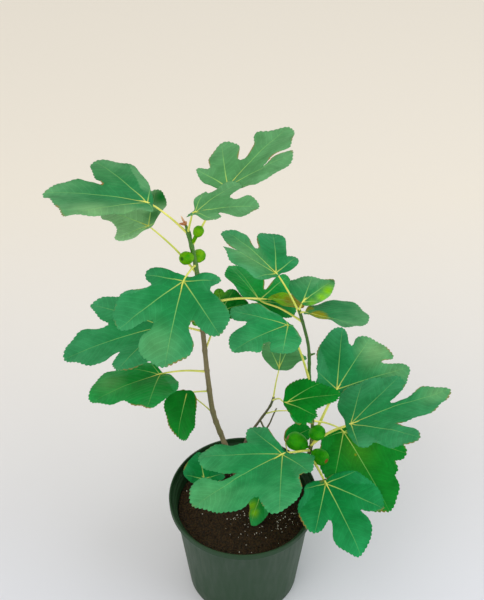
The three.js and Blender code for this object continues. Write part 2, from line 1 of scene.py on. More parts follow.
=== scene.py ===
# %% [markdown]
# # A young fig tree in its nursery pot
#
# This lesson dresses a finished model of a potted fig. The model gives every stem, leaf and pot wall its
# size and place. Here each of them gets the surface that the eye expects: toothed leaf blades with pale
# veins, bark with leaf scars, green figs, crumbly compost and moulded plastic.
#
# First the model is loaded, and each of its parts is moved to its place in the world.

import math
import random

import bmesh
import bpy
import numpy as np
from mathutils import Matrix, Vector, noise
from mathutils.geometry import interpolate_bezier


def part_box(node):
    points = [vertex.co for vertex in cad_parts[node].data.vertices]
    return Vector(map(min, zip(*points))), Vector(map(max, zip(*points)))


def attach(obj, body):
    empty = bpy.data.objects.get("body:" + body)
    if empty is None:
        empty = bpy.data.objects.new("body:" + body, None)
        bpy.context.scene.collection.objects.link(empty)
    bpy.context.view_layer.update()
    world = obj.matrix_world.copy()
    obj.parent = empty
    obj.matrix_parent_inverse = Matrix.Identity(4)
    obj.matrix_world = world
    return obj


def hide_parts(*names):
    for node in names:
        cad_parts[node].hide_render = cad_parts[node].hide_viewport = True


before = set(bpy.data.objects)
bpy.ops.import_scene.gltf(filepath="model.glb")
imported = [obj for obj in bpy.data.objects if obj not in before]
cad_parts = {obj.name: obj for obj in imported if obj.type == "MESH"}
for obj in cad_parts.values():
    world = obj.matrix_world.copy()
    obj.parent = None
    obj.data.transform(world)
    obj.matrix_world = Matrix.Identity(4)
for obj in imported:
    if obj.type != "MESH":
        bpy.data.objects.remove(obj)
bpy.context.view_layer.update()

MM = 0.001
BODY = "root"

# %% [markdown]
# ## The camera
#
# The plant stands on the ground and is looked down on from above its own height, through a long lens, so
# the leaves spread out like hands and the compost shows inside the rim. The lens is given as a focal
# length in pixels of a picture 600 high, and the sensor's long side is that height.

# %% Place the camera
IMAGE_HEIGHT = 600
FOCAL_PIXELS = 1400
SENSOR = 36.0
CAMERA_PLACE = Vector((-0.002, -1.410, 2.030))
CAMERA_DROP = math.radians(44.3)

camera_data = bpy.data.cameras.new("camera")
camera_data.sensor_width = SENSOR
camera_data.lens = SENSOR * FOCAL_PIXELS / IMAGE_HEIGHT
camera = bpy.data.objects.new("camera", camera_data)
camera.location = CAMERA_PLACE
camera.rotation_euler = (math.pi / 2 - CAMERA_DROP, 0, 0)
bpy.context.scene.collection.objects.link(camera)
bpy.context.scene.camera = camera
print("lens:", round(camera_data.lens, 1), "mm")

# %% [markdown]
# ## Colours and nodes
#
# Colours are written as they look on a screen, as hex codes, and one function turns them into the linear
# values that shaders work with. A second small function adds a node, sets it up and links it, so that each
# material below reads as a short recipe. A Map Range node takes a value and a range of two or four numbers:
# where the value starts and ends to count, and what it then counts for, which is 0 and 1 if not given.

# %% Colour and node helpers
def colour(code):
    """A hex code as the linear colour that a shader takes."""
    shares = [int(code[i:i + 2], 16) / 255 for i in (1, 3, 5)]
    return (*[s / 12.92 if s <= 0.04045 else ((s + 0.055) / 1.055) ** 2.4 for s in shares], 1.0)


def add(tree, kind, sockets=(), **settings):
    """Adds a node with its settings. Its sockets, in order or by key, take values or outputs to link."""
    node = tree.nodes.new("ShaderNode" + kind)
    for name, value in settings.items():
        setattr(node, name, value)
    for key, value in sockets.items() if isinstance(sockets, dict) else enumerate(sockets):
        if isinstance(value, bpy.types.NodeSocket):
            tree.links.new(value, node.inputs[key])
        else:
            node.inputs[key].default_value = value
    return node


def new_material(name):
    """An empty material and its node tree."""
    material = bpy.data.materials.new(name)
    material.use_nodes = True
    material.node_tree.nodes.clear()
    return material, material.node_tree


# A Mix node for colours has its factor and its two colours on these sockets.
FACTOR, FIRST, SECOND, MIXED = 0, 6, 7, 2
print("helpers ready; mid green is", [round(c, 3) for c in colour("#3a9a5e")])

# %% [markdown]
# ## The studio
#
# A plant shows best on a pale seamless floor with soft light from all around. A large lamp high in front
# gives the leaves their gentle sheen, a second one fills from the right, and the bright surroundings light
# up the sides of the pot.

# %% Light
SURROUND = "#f4f2ee"
SURROUND_STRENGTH = 0.82
LAMPS = {
    "key": {"place": (-1.3, -1.6, 3.0), "size": 2.6, "power": 34, "tint": "#fffaf0"},
    "fill": {"place": (2.2, -0.6, 2.2), "size": 2.6, "power": 30, "tint": "#f4f8ff"},
}
AIM = Vector((0.0, 0.04, 0.45))

world = bpy.data.worlds.new("studio")
world.use_nodes = True
backdrop = world.node_tree.nodes["Background"]
backdrop.inputs["Color"].default_value = colour(SURROUND)
backdrop.inputs["Strength"].default_value = SURROUND_STRENGTH
bpy.context.scene.world = world
bpy.context.scene.view_settings.view_transform = "Standard"

for name, lamp in LAMPS.items():
    light = bpy.data.lights.new(name, "AREA")
    light.shape = "DISK"
    light.size = lamp["size"]
    light.energy = lamp["power"]
    light.color = colour(lamp["tint"])[:3]
    holder = bpy.data.objects.new(name, light)
    holder.location = lamp["place"]
    holder.rotation_euler = (AIM - holder.location).to_track_quat("-Z", "Y").to_euler()
    bpy.context.scene.collection.objects.link(holder)
print("lamps:", list(LAMPS))

# %% [markdown]
# The floor is one flat square, so much larger than the plant that the camera never reaches its edge. Its
# paper is a little warmer far away and cooler close by, which a real sweep of paper gets from its lamps.

# %% Floor
FLOOR_SIZE = 20.0
FLOOR_FAR = "#efe9de"
FLOOR_NEAR = "#dcdfe8"
FLOOR_BLEND = (-0.15, 1.0)

paper, tree = new_material("seamless_paper")
place = add(tree, "TexCoord").outputs["Object"]
depth = add(tree, "SeparateXYZ", [place]).outputs["Y"]
far = add(tree, "MapRange", [depth, *FLOOR_BLEND]).outputs[0]
tone = add(tree, "Mix", {FACTOR: far, FIRST: colour(FLOOR_NEAR), SECOND: colour(FLOOR_FAR)},
           data_type="RGBA").outputs[MIXED]
shader = add(tree, "BsdfPrincipled", {"Base Color": tone, "Roughness": 0.9, "Specular IOR Level": 0.2})
add(tree, "OutputMaterial", {"Surface": shader.outputs[0]})

bm = bmesh.new()
bmesh.ops.create_grid(bm, x_segments=1, y_segments=1, size=FLOOR_SIZE / 2)
floor_mesh = bpy.data.meshes.new("floor")
bm.to_mesh(floor_mesh)
bm.free()
floor_mesh.materials.append(paper)
floor = bpy.data.objects.new("floor", floor_mesh)
bpy.context.scene.collection.objects.link(floor)
print("floor:", FLOOR_SIZE, "m across")

# %% [markdown]
# ## From bmesh to a piece
#
# Every shape below is built in a bmesh. This helper turns it into a shown object: it smooths the faces,
# gives the mesh its materials, fixes the object to the plant, and hides the plain solids of the model that
# it stands for.

# %% Piece helper
def piece(name, bm, materials, nodes=()):
    """A finished bmesh as a shown object that stands for some of the model's solids."""
    for face in bm.faces:
        face.smooth = True
    mesh = bpy.data.meshes.new(name)
    bm.to_mesh(mesh)
    bm.free()
    for material in materials:
        mesh.materials.append(material)
    made = bpy.data.objects.new(name, mesh)
    bpy.context.scene.collection.objects.link(made)
    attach(made, BODY)
    if nodes:
        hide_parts(*nodes)
    print(f"{name}: {len(mesh.polygons)} faces")
    return made


print("pieces ride on:", BODY)

# %% [markdown]
# ## The pot's plastic
#
# Nursery pots are injection moulded from recycled polypropylene, here a dull dark green. The moulding
# leaves a fine, slightly uneven grain that breaks up the reflection. Dust and lime dry on it in soft
# upright streaks, paler and duller than the rest, which keep the wall from looking like a flat colour.

# %% Moulded polypropylene
POT_COLOUR = "#1a3c1e"
POT_DUSTY = "#24482b"
STREAK = 9 * MM
STREAK_STRETCH = (1, 1, 0.12)
DUST = (0.42, 0.75, 0.0, 0.2)
POLISH = (0.3, 0.7, 0.45, 0.58)
# The real grain is about a tenth of a millimetre. It is drawn coarser, so that it shows.
GRAIN = 0.8 * MM
GRAIN_DEPTH = 0.1 * MM

polypropylene, tree = new_material("moulded_polypropylene")
place = add(tree, "TexCoord").outputs["Object"]
tall = add(tree, "Mapping", {"Vector": place, "Scale": STREAK_STRETCH}).outputs[0]
streaks = add(tree, "TexNoise", {"Vector": tall, "Scale": 1 / STREAK, "Detail": 4}).outputs["Fac"]
dust = add(tree, "MapRange", [streaks, *DUST]).outputs[0]
tone = add(tree, "Mix", {FACTOR: dust, FIRST: colour(POT_COLOUR), SECOND: colour(POT_DUSTY)},
           data_type="RGBA").outputs[MIXED]
rough = add(tree, "MapRange", [streaks, *POLISH]).outputs[0]
grain = add(tree, "TexNoise", {"Vector": place, "Scale": 1 / GRAIN, "Detail": 2}).outputs["Fac"]
relief = add(tree, "Bump", {"Height": grain, "Strength": 0.35, "Distance": GRAIN_DEPTH}).outputs[0]
shader = add(tree, "BsdfPrincipled", {"Base Color": tone, "Roughness": rough, "IOR": 1.49,
                                      "Specular IOR Level": 0.3, "Normal": relief})
add(tree, "OutputMaterial", {"Surface": shader.outputs[0]})
print("material:", polypropylene.name)

# %% [markdown]
# ## The pot
#
# A round pot is turned: half of its cross-section is drawn as a short chain of points and spun once round
# the upright axis. The lip is a rolled band that stands out from the wall. Its height and outer radius come
# from the model's box, and the small radii on its edges catch the light. Inside, the thin wall steps out
# with the lip, so that only its narrow edge shows from above.

# %% Turn the pot
pot_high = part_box("pot")[1]
HEIGHT = pot_high.z
LIP_RADIUS = pot_high.x
BASE_RADIUS = 91 * MM
TOP_RADIUS = 113 * MM
WALL = 2.5 * MM
FLOOR = 3 * MM
LIP_HEIGHT = 12 * MM
LIP_WALL = 3.2 * MM
POT_STEPS = 128
SAME_PLACE = 0.01 * MM


def wall_radius(height):
    """The outside radius of the tapered wall."""
    return BASE_RADIUS + (TOP_RADIUS - BASE_RADIUS) * height / HEIGHT


# The profile runs from the middle of the floor up the inside, over the lip and down the outside. The odd
# millimetres on it are the small radii at its corners.
lip_foot = HEIGHT - LIP_HEIGHT
profile = [
    (0, FLOOR), (BASE_RADIUS - WALL - 4 * MM, FLOOR), (BASE_RADIUS - WALL, FLOOR + 4 * MM),
    (wall_radius(lip_foot) - WALL, lip_foot - 5 * MM), (LIP_RADIUS - LIP_WALL - 1 * MM, lip_foot + 2 * MM),
    (LIP_RADIUS - LIP_WALL, lip_foot + 4 * MM), (LIP_RADIUS - LIP_WALL, HEIGHT - 1 * MM),
    (LIP_RADIUS - LIP_WALL + 0.7 * MM, HEIGHT - 0.2 * MM), (LIP_RADIUS - 1.4 * MM, HEIGHT),
    (LIP_RADIUS - 0.4 * MM, HEIGHT - 0.5 * MM), (LIP_RADIUS, HEIGHT - 2 * MM),
    (LIP_RADIUS - 0.3 * MM, lip_foot + 1 * MM), (LIP_RADIUS - 1.3 * MM, lip_foot),
    (wall_radius(lip_foot) + 1 * MM, lip_foot), (wall_radius(lip_foot), lip_foot - 1.5 * MM),
    (wall_radius(30 * MM), 30 * MM), (wall_radius(3 * MM), 3 * MM), (BASE_RADIUS - 0.8 * MM, 0.8 * MM),
    (BASE_RADIUS - 2.5 * MM, 0), (0, 0),
]
bm = bmesh.new()
chain = [bm.verts.new((radius, 0, height)) for radius, height in profile]
for first, second in zip(chain, chain[1:]):
    bm.edges.new((first, second))
bmesh.ops.spin(bm, geom=bm.verts[:] + bm.edges[:], cent=(0, 0, 0), axis=(0, 0, 1), angle=2 * math.pi,
               steps=POT_STEPS, use_merge=True)
bmesh.ops.remove_doubles(bm, verts=bm.verts, dist=SAME_PLACE)
bmesh.ops.recalc_face_normals(bm, faces=bm.faces)
pot = piece("pot_shell", bm, [polypropylene], ["pot"])
print("pot:", round(2 * LIP_RADIUS, 3), "m across the lip")

# %% [markdown]
# Water leaves through round holes in the pot's floor. A Boolean modifier cuts them with a set of upright
# rods, because holes made by hand would spoil the even rings of the turned mesh. What the modifier shows
# then becomes the pot's own mesh.

# %% Drill the drain holes
DRAIN_HOLES = 6
DRAIN_RADIUS = 7 * MM
DRAIN_CIRCLE = 71 * MM
DRAIN_SIDES = 32

bm = bmesh.new()
for i in range(DRAIN_HOLES):
    turn = (i + 0.5) * 2 * math.pi / DRAIN_HOLES
    spot = Matrix.Translation((DRAIN_CIRCLE * math.cos(turn), DRAIN_CIRCLE * math.sin(turn), 0))
    bmesh.ops.create_cone(bm, cap_ends=True, segments=DRAIN_SIDES, radius1=DRAIN_RADIUS,
                          radius2=DRAIN_RADIUS, depth=4 * FLOOR, matrix=spot)
drill_mesh = bpy.data.meshes.new("drill")
bm.to_mesh(drill_mesh)
bm.free()
drill = bpy.data.objects.new("drill", drill_mesh)
bpy.context.scene.collection.objects.link(drill)
cut = pot.modifiers.new("drain_holes", "BOOLEAN")
cut.object = drill
cut.solver = "EXACT"
bpy.context.view_layer.update()
drained = bpy.data.meshes.new_from_object(pot.evaluated_get(bpy.context.evaluated_depsgraph_get()))
pot.modifiers.clear()
pot.data = drained
bpy.data.objects.remove(drill)
print("drain holes:", DRAIN_HOLES, "pot:", len(drained.polygons), "faces")

# %% [markdown]
# The moulded lip is crisp where it meets the wall, so the shading is split wherever two faces meet at a
# real corner and stays smooth round the pot.

# %% Keep the pot's corners crisp
CORNER = math.radians(35)
edges = bmesh.new()
edges.from_mesh(pot.data)
for edge in edges.edges:
    edge.smooth = edge.calc_face_angle(0) < CORNER
edges.to_mesh(pot.data)
edges.free()
print("sharp edges:", sum(e.use_edge_sharp for e in pot.data.edges))

# %% [markdown]
# ## Compost
#
# Potting compost is dark peat and fine bark, always a little moist, with white grains of perlite. The
# material's colour follows the height of its crumbs: the gaps between them get painted shade.

# %% Compost material
COMPOST_GAP_SHADE = "#1d1406"
COMPOST_LIGHT = "#463114"
CRUMB = 3 * MM
CRUMB_DEPTH = 1.5 * MM
CRUMB_SHADE = (-0.25, 0.45)

peat, tree = new_material("moist_peat_compost")
place = add(tree, "TexCoord").outputs["Object"]
lumps = add(tree, "TexNoise", {"Vector": place, "Scale": 1 / CRUMB, "Detail": 6, "Roughness": 0.7})
cells = add(tree, "TexVoronoi", {"Vector": place, "Scale": 1 / CRUMB})
height = add(tree, "Math", [lumps.outputs["Fac"], cells.outputs["Distance"]],
             operation="SUBTRACT").outputs[0]
shade = add(tree, "MapRange", [height, *CRUMB_SHADE]).outputs[0]
# Painted shade: the low places between the crumbs take the darker colour.
tone = add(tree, "Mix", {FACTOR: shade, FIRST: colour(COMPOST_GAP_SHADE), SECOND: colour(COMPOST_LIGHT)},
           data_type="RGBA").outputs[MIXED]
relief = add(tree, "Bump", {"Height": height, "Strength": 1.0, "Distance": CRUMB_DEPTH}).outputs[0]
shader = add(tree, "BsdfPrincipled", {"Base Color": tone, "Roughness": 0.85, "Specular IOR Level": 0.3,
                                      "Normal": relief})
add(tree, "OutputMaterial", {"Surface": shader.outputs[0]})
print("material:", peat.name)

# %% [markdown]
# The bed is one lumpy disc. A square grid is drawn into a round one, because its cells then stay even to
# the rim, where a fan of triangles would crowd at the middle. Its edge is extruded down to the pot's floor.
# Its height comes from two noises, broad lumps and small clods, each read from a slice of its own. They
# are in the mesh and not in the material alone, because lumps hide each other when seen at a slant.

# %% Compost bed
SOIL_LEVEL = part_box("compost")[1].z
SOIL_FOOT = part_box("compost")[0].z
SOIL_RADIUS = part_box("compost")[1].x
SOIL_CELLS = 120
LUMP = 14 * MM
LUMP_HEIGHT = 2.6 * MM
CLOD = LUMP / 4
CLOD_HEIGHT = 1.2 * MM
LUMP_SLICE = 0
CLOD_SLICE = 5


def soil_height(x, y):
    """The lumpy surface of the compost."""
    coarse = noise.noise(Vector((x, y, LUMP_SLICE)) / LUMP)
    fine = noise.noise(Vector((x, y, CLOD_SLICE)) / CLOD)
    return SOIL_LEVEL + LUMP_HEIGHT * coarse + CLOD_HEIGHT * fine


bm = bmesh.new()
bmesh.ops.create_grid(bm, x_segments=SOIL_CELLS, y_segments=SOIL_CELLS, size=1)
for vert in bm.verts:
    x, y = vert.co.x, vert.co.y
    disc_x = x * math.sqrt(1 - y * y / 2) * SOIL_RADIUS
    disc_y = y * math.sqrt(1 - x * x / 2) * SOIL_RADIUS
    vert.co = (disc_x, disc_y, soil_height(disc_x, disc_y))
rim = [edge for edge in bm.edges if edge.is_boundary]
skirt = bmesh.ops.extrude_edge_only(bm, edges=rim)["geom"]
low_ring = [part for part in skirt if isinstance(part, bmesh.types.BMVert)]
inset = (BASE_RADIUS - WALL - 1 * MM) / SOIL_RADIUS
for vert in low_ring:
    vert.co = (vert.co.x * inset, vert.co.y * inset, SOIL_FOOT)
bmesh.ops.holes_fill(bm, edges=[edge for edge in bm.edges if edge.is_boundary])
bmesh.ops.recalc_face_normals(bm, faces=bm.faces)
piece("compost_bed", bm, [peat], ["compost"])

# %% [markdown]
# Perlite is volcanic glass blown up by heat: a chalk white, very matt grain with tiny pits. A pitted relief
# and a spread of off-whites keep it from looking like paper; the pits are painted greyer, as painted shade.

# %% Perlite material
PERLITE_SHADE = "#b9b2a2"
PERLITE_WHITE = "#f4f1e6"
PERLITE_PIT = 0.8 * MM
PERLITE_DEPTH = 0.3 * MM

perlite, tree = new_material("expanded_perlite")
place = add(tree, "TexCoord").outputs["Object"]
pits = add(tree, "TexNoise", {"Vector": place, "Scale": 1 / PERLITE_PIT, "Detail": 3}).outputs["Fac"]
# Painted shade: the low places of the pitted relief take the greyer white.
tone = add(tree, "Mix", {FACTOR: pits, FIRST: colour(PERLITE_SHADE), SECOND: colour(PERLITE_WHITE)},
           data_type="RGBA").outputs[MIXED]
relief = add(tree, "Bump", {"Height": pits, "Strength": 0.5, "Distance": PERLITE_DEPTH}).outputs[0]
shader = add(tree, "BsdfPrincipled", {"Base Color": tone, "Roughness": 0.9, "Normal": relief})
add(tree, "OutputMaterial", {"Surface": shader.outputs[0]})
print("material:", perlite.name)

# %% [markdown]
# Loose crumbs and perlite lie on the bed. Each is the simplest round solid there is, a twenty-sided one,
# squeezed and turned at random from a fixed seed, so that the surface looks the same each time. Watering
# has washed part of the perlite together in two places, each given by its middle, its reach and its share
# of the grains.

# %% Scatter crumbs and perlite
SCATTER = {
    "compost_crumbs": {"count": 520, "size": (1.0, 2.6), "material": peat, "seed": 11},
    "perlite_grains": {"count": 110, "size": (0.5, 1.4), "material": perlite, "seed": 7},
}
SCATTER_RADIUS = SOIL_RADIUS - 5 * MM
FLATTENED = ((0.6, 1), (0.5, 0.9))
PROUD = 0.3
WASHED = [
    {"middle": (2, -34), "reach": 32, "share": 0.45},
    {"middle": (70, -26), "reach": 26, "share": 0.2},
]

for name, kind in SCATTER.items():
    dice = random.Random(kind["seed"])
    bm = bmesh.new()
    for _ in range(kind["count"]):
        reach = SCATTER_RADIUS * math.sqrt(dice.random())
        turn = dice.uniform(0, 2 * math.pi)
        x, y = reach * math.cos(turn), reach * math.sin(turn)
        for heap in WASHED if name == "perlite_grains" else ():
            if dice.random() < heap["share"]:
                spread = heap["reach"] * MM * reach / SCATTER_RADIUS
                x = heap["middle"][0] * MM + spread * math.cos(turn)
                y = heap["middle"][1] * MM + spread * math.sin(turn)
        size = dice.uniform(*kind["size"]) * MM
        squeeze = Vector((size, *[size * dice.uniform(*flat) for flat in FLATTENED]))
        spin = Matrix.Rotation(dice.uniform(0, 2 * math.pi), 4, "Z")
        spot = Vector((x, y, soil_height(x, y) + PROUD * size))
        bmesh.ops.create_icosphere(bm, subdivisions=1, radius=1,
                                   matrix=Matrix.LocRotScale(spot, spin.to_quaternion(), squeeze))
    piece(name, bm, [kind["material"]])

# %% [markdown]
# ## Stems
#
# A fig's young wood is smooth grey-brown bark that turns green towards the growing tip. It swells at every
# node, where a leaf grew, and a ringed scar is left there. Small corky dots, the lenticels, run up the
# bark. Each stem is a ring of points extruded along a smooth line and sized at every step. That keeps the
# swellings and the flare at the foot in the mesh itself, and the bark's relief is pressed in afterwards.

# %% Smooth lines
CURVE_STEPS = 40
FEWEST_STATIONS = 4


def smooth_line(points, step):
    """A smooth curve through a few points in millimetres, as points in metres about one step apart."""
    knots = [Vector(point) * MM for point in points]
    knots = [2 * knots[0] - knots[1], *knots, 2 * knots[-1] - knots[-2]]
    fine = []
    for a, b, c, d in zip(knots, knots[1:], knots[2:], knots[3:]):
        ab, bc, cd = [(end - start).length ** 0.5 for start, end in ((a, b), (b, c), (c, d))]
        leave = ((b - a) / ab - (c - a) / (ab + bc) + (c - b) / bc) * bc
        arrive = ((c - b) / bc - (d - b) / (bc + cd) + (d - c) / cd) * bc
        fine += interpolate_bezier(b, b + leave / 3, c - arrive / 3, c, CURVE_STEPS)[:-1]
    fine.append(knots[-2])
    run = np.cumsum([0] + [(end - start).length for start, end in zip(fine, fine[1:])])
    stations = np.linspace(0, run[-1], max(FEWEST_STATIONS, round(run[-1] / step)))
    return [Vector(row) for row in zip(*[np.interp(stations, run, [p[i] for p in fine]) for i in range(3)])]


def point_at_height(line, height):
    """The first point of a rising line that reaches a height given in millimetres."""
    return next((point for point in line if point.z >= height * MM), line[-1])


print("a straight 10 mm line has", len(smooth_line([(0, 0, 0), (0, 0, 10)], 1 * MM)), "stations")

# %% [markdown]
# One helper grows every round limb, from a stem to a bud scale. A curve object with a bevel could do it too,
# but a ring that is extruded station by station can be given any radius on its way.

# %% Limbs
def limb(bm, line, radius_at, sides):
    """Extrudes a ring along a line and gives it a radius at each station."""
    ring = bmesh.ops.create_circle(bm, cap_ends=True, segments=sides, radius=1)["verts"]
    edges = list({edge for vert in ring for edge in vert.link_edges})
    heading = (line[1] - line[0]).normalized()
    turn = Vector((0, 0, 1)).rotation_difference(heading)
    before = Matrix.Identity(4)
    for station, point in enumerate(line):
        ahead = line[min(station + 1, len(line) - 1)] - line[max(station - 1, 0)]
        turn = heading.rotation_difference(ahead.normalized()) @ turn
        heading = ahead.normalized()
        radius = radius_at(station / (len(line) - 1))
        after = Matrix.LocRotScale(point, turn, Vector((radius, radius, 1)))
        if station:
            grown = bmesh.ops.extrude_edge_only(bm, edges=edges)["geom"]
            ring = [part for part in grown if isinstance(part, bmesh.types.BMVert)]
            tops = set(ring)
            edges = [part for part in grown
                     if isinstance(part, bmesh.types.BMEdge) and set(part.verts) <= tops]
        bmesh.ops.transform(bm, matrix=after @ before.inverted(), verts=ring)
        before = after
    bmesh.ops.contextual_create(bm, geom=edges)


trial = bmesh.new()
limb(trial, [Vector((0, 0, z)) for z in range(3)], lambda t: 1, 4)
print("a four-sided limb of three stations has", len(trial.verts), "corners")
trial.free()

# %% [markdown]
# The stems themselves: the points that each one's centre line passes through, in millimetres, its radius
# at the foot and at the tip, how far it flares at the soil, and the heights of its nodes. A shoot is a short
# limb that branches off a stem at a given height.

# %% Where the stems run
STEMS = {
    "left_stem": {
        "points": [(-5, 50, 168), (-7, 50, 179), (-31, 50, 284), (-47, 50, 353), (-54, 50, 428),
                   (-60, 50, 536), (-66, 50, 657), (-72, 50, 706), (-77, 50, 738)],
        "radius": 4.6, "tip": 3.1, "flare": 4.5, "nodes": [205, 240, 272, 304, 330],
    },
    "right_arm": {
        "points": [(12, 35, 165), (16, 36, 179), (30, 38, 192), (60, 44, 207), (88, 49, 222),
                   (101, 50, 238), (105, 50, 248)],
        "radius": 4.0, "tip": 3.1, "flare": 3.0, "nodes": [],
    },
    "right_stem": {
        "points": [(103, 50, 242), (109, 50, 265), (110, 50, 336), (102, 50, 433), (98, 50, 508),
                   (82, 50, 585)],
        "radius": 3.0, "tip": 2.3, "flare": 0.0, "nodes": [370, 405, 440, 470, 488],
    },
    "side_twig": {
        "points": [(-9, 53, 192), (-4, 72, 216), (4, 84, 246), (22, 84, 288), (43, 70, 350), (48, 62, 380)],
        "radius": 2.4, "tip": 1.8, "flare": 0.0, "nodes": [222, 250, 278, 312, 350],
    },
}
SHOOTS = [
    {"stem": "left_stem", "from": 736, "path": [(-82, 50, 758)], "radius": 3.2, "tip": 0.7},
    {"stem": "right_stem", "from": 488, "path": [(108, 48, 494)], "radius": 2.0, "tip": 1.2},
    {"stem": "side_twig", "from": 301, "path": [(36, 80, 283), (53, 72, 341)], "radius": 1.6, "tip": 1.1},
]
STEM_STEP = 2.5 * MM
SHOOT_STEP = 1.6 * MM
LINES = {name: smooth_line(stem["points"], STEM_STEP) for name, stem in STEMS.items()}
print("stem lines:", {name: len(line) for name, line in LINES.items()})

# %% [markdown]
# ## Leaves: where they grow
#
# A fig leaf is a hand: three to five rounded lobes round a long stalk, with narrow slits between them. No
# two are alike, so each one's outline is written down. An entry gives the height at which the stalk leaves
# its stem, the place where it meets the blade, the compass heading of the midrib, its pitch above level
# and its roll, and the midrib's length. Angles on the blade are measured from the midrib, and distances are
# shares of its length: the veins by where they end, and the edge as a walk once round the blade. Where a
# leaf differs from the rest, its stalk's radius and arch and the size of its teeth are given too.

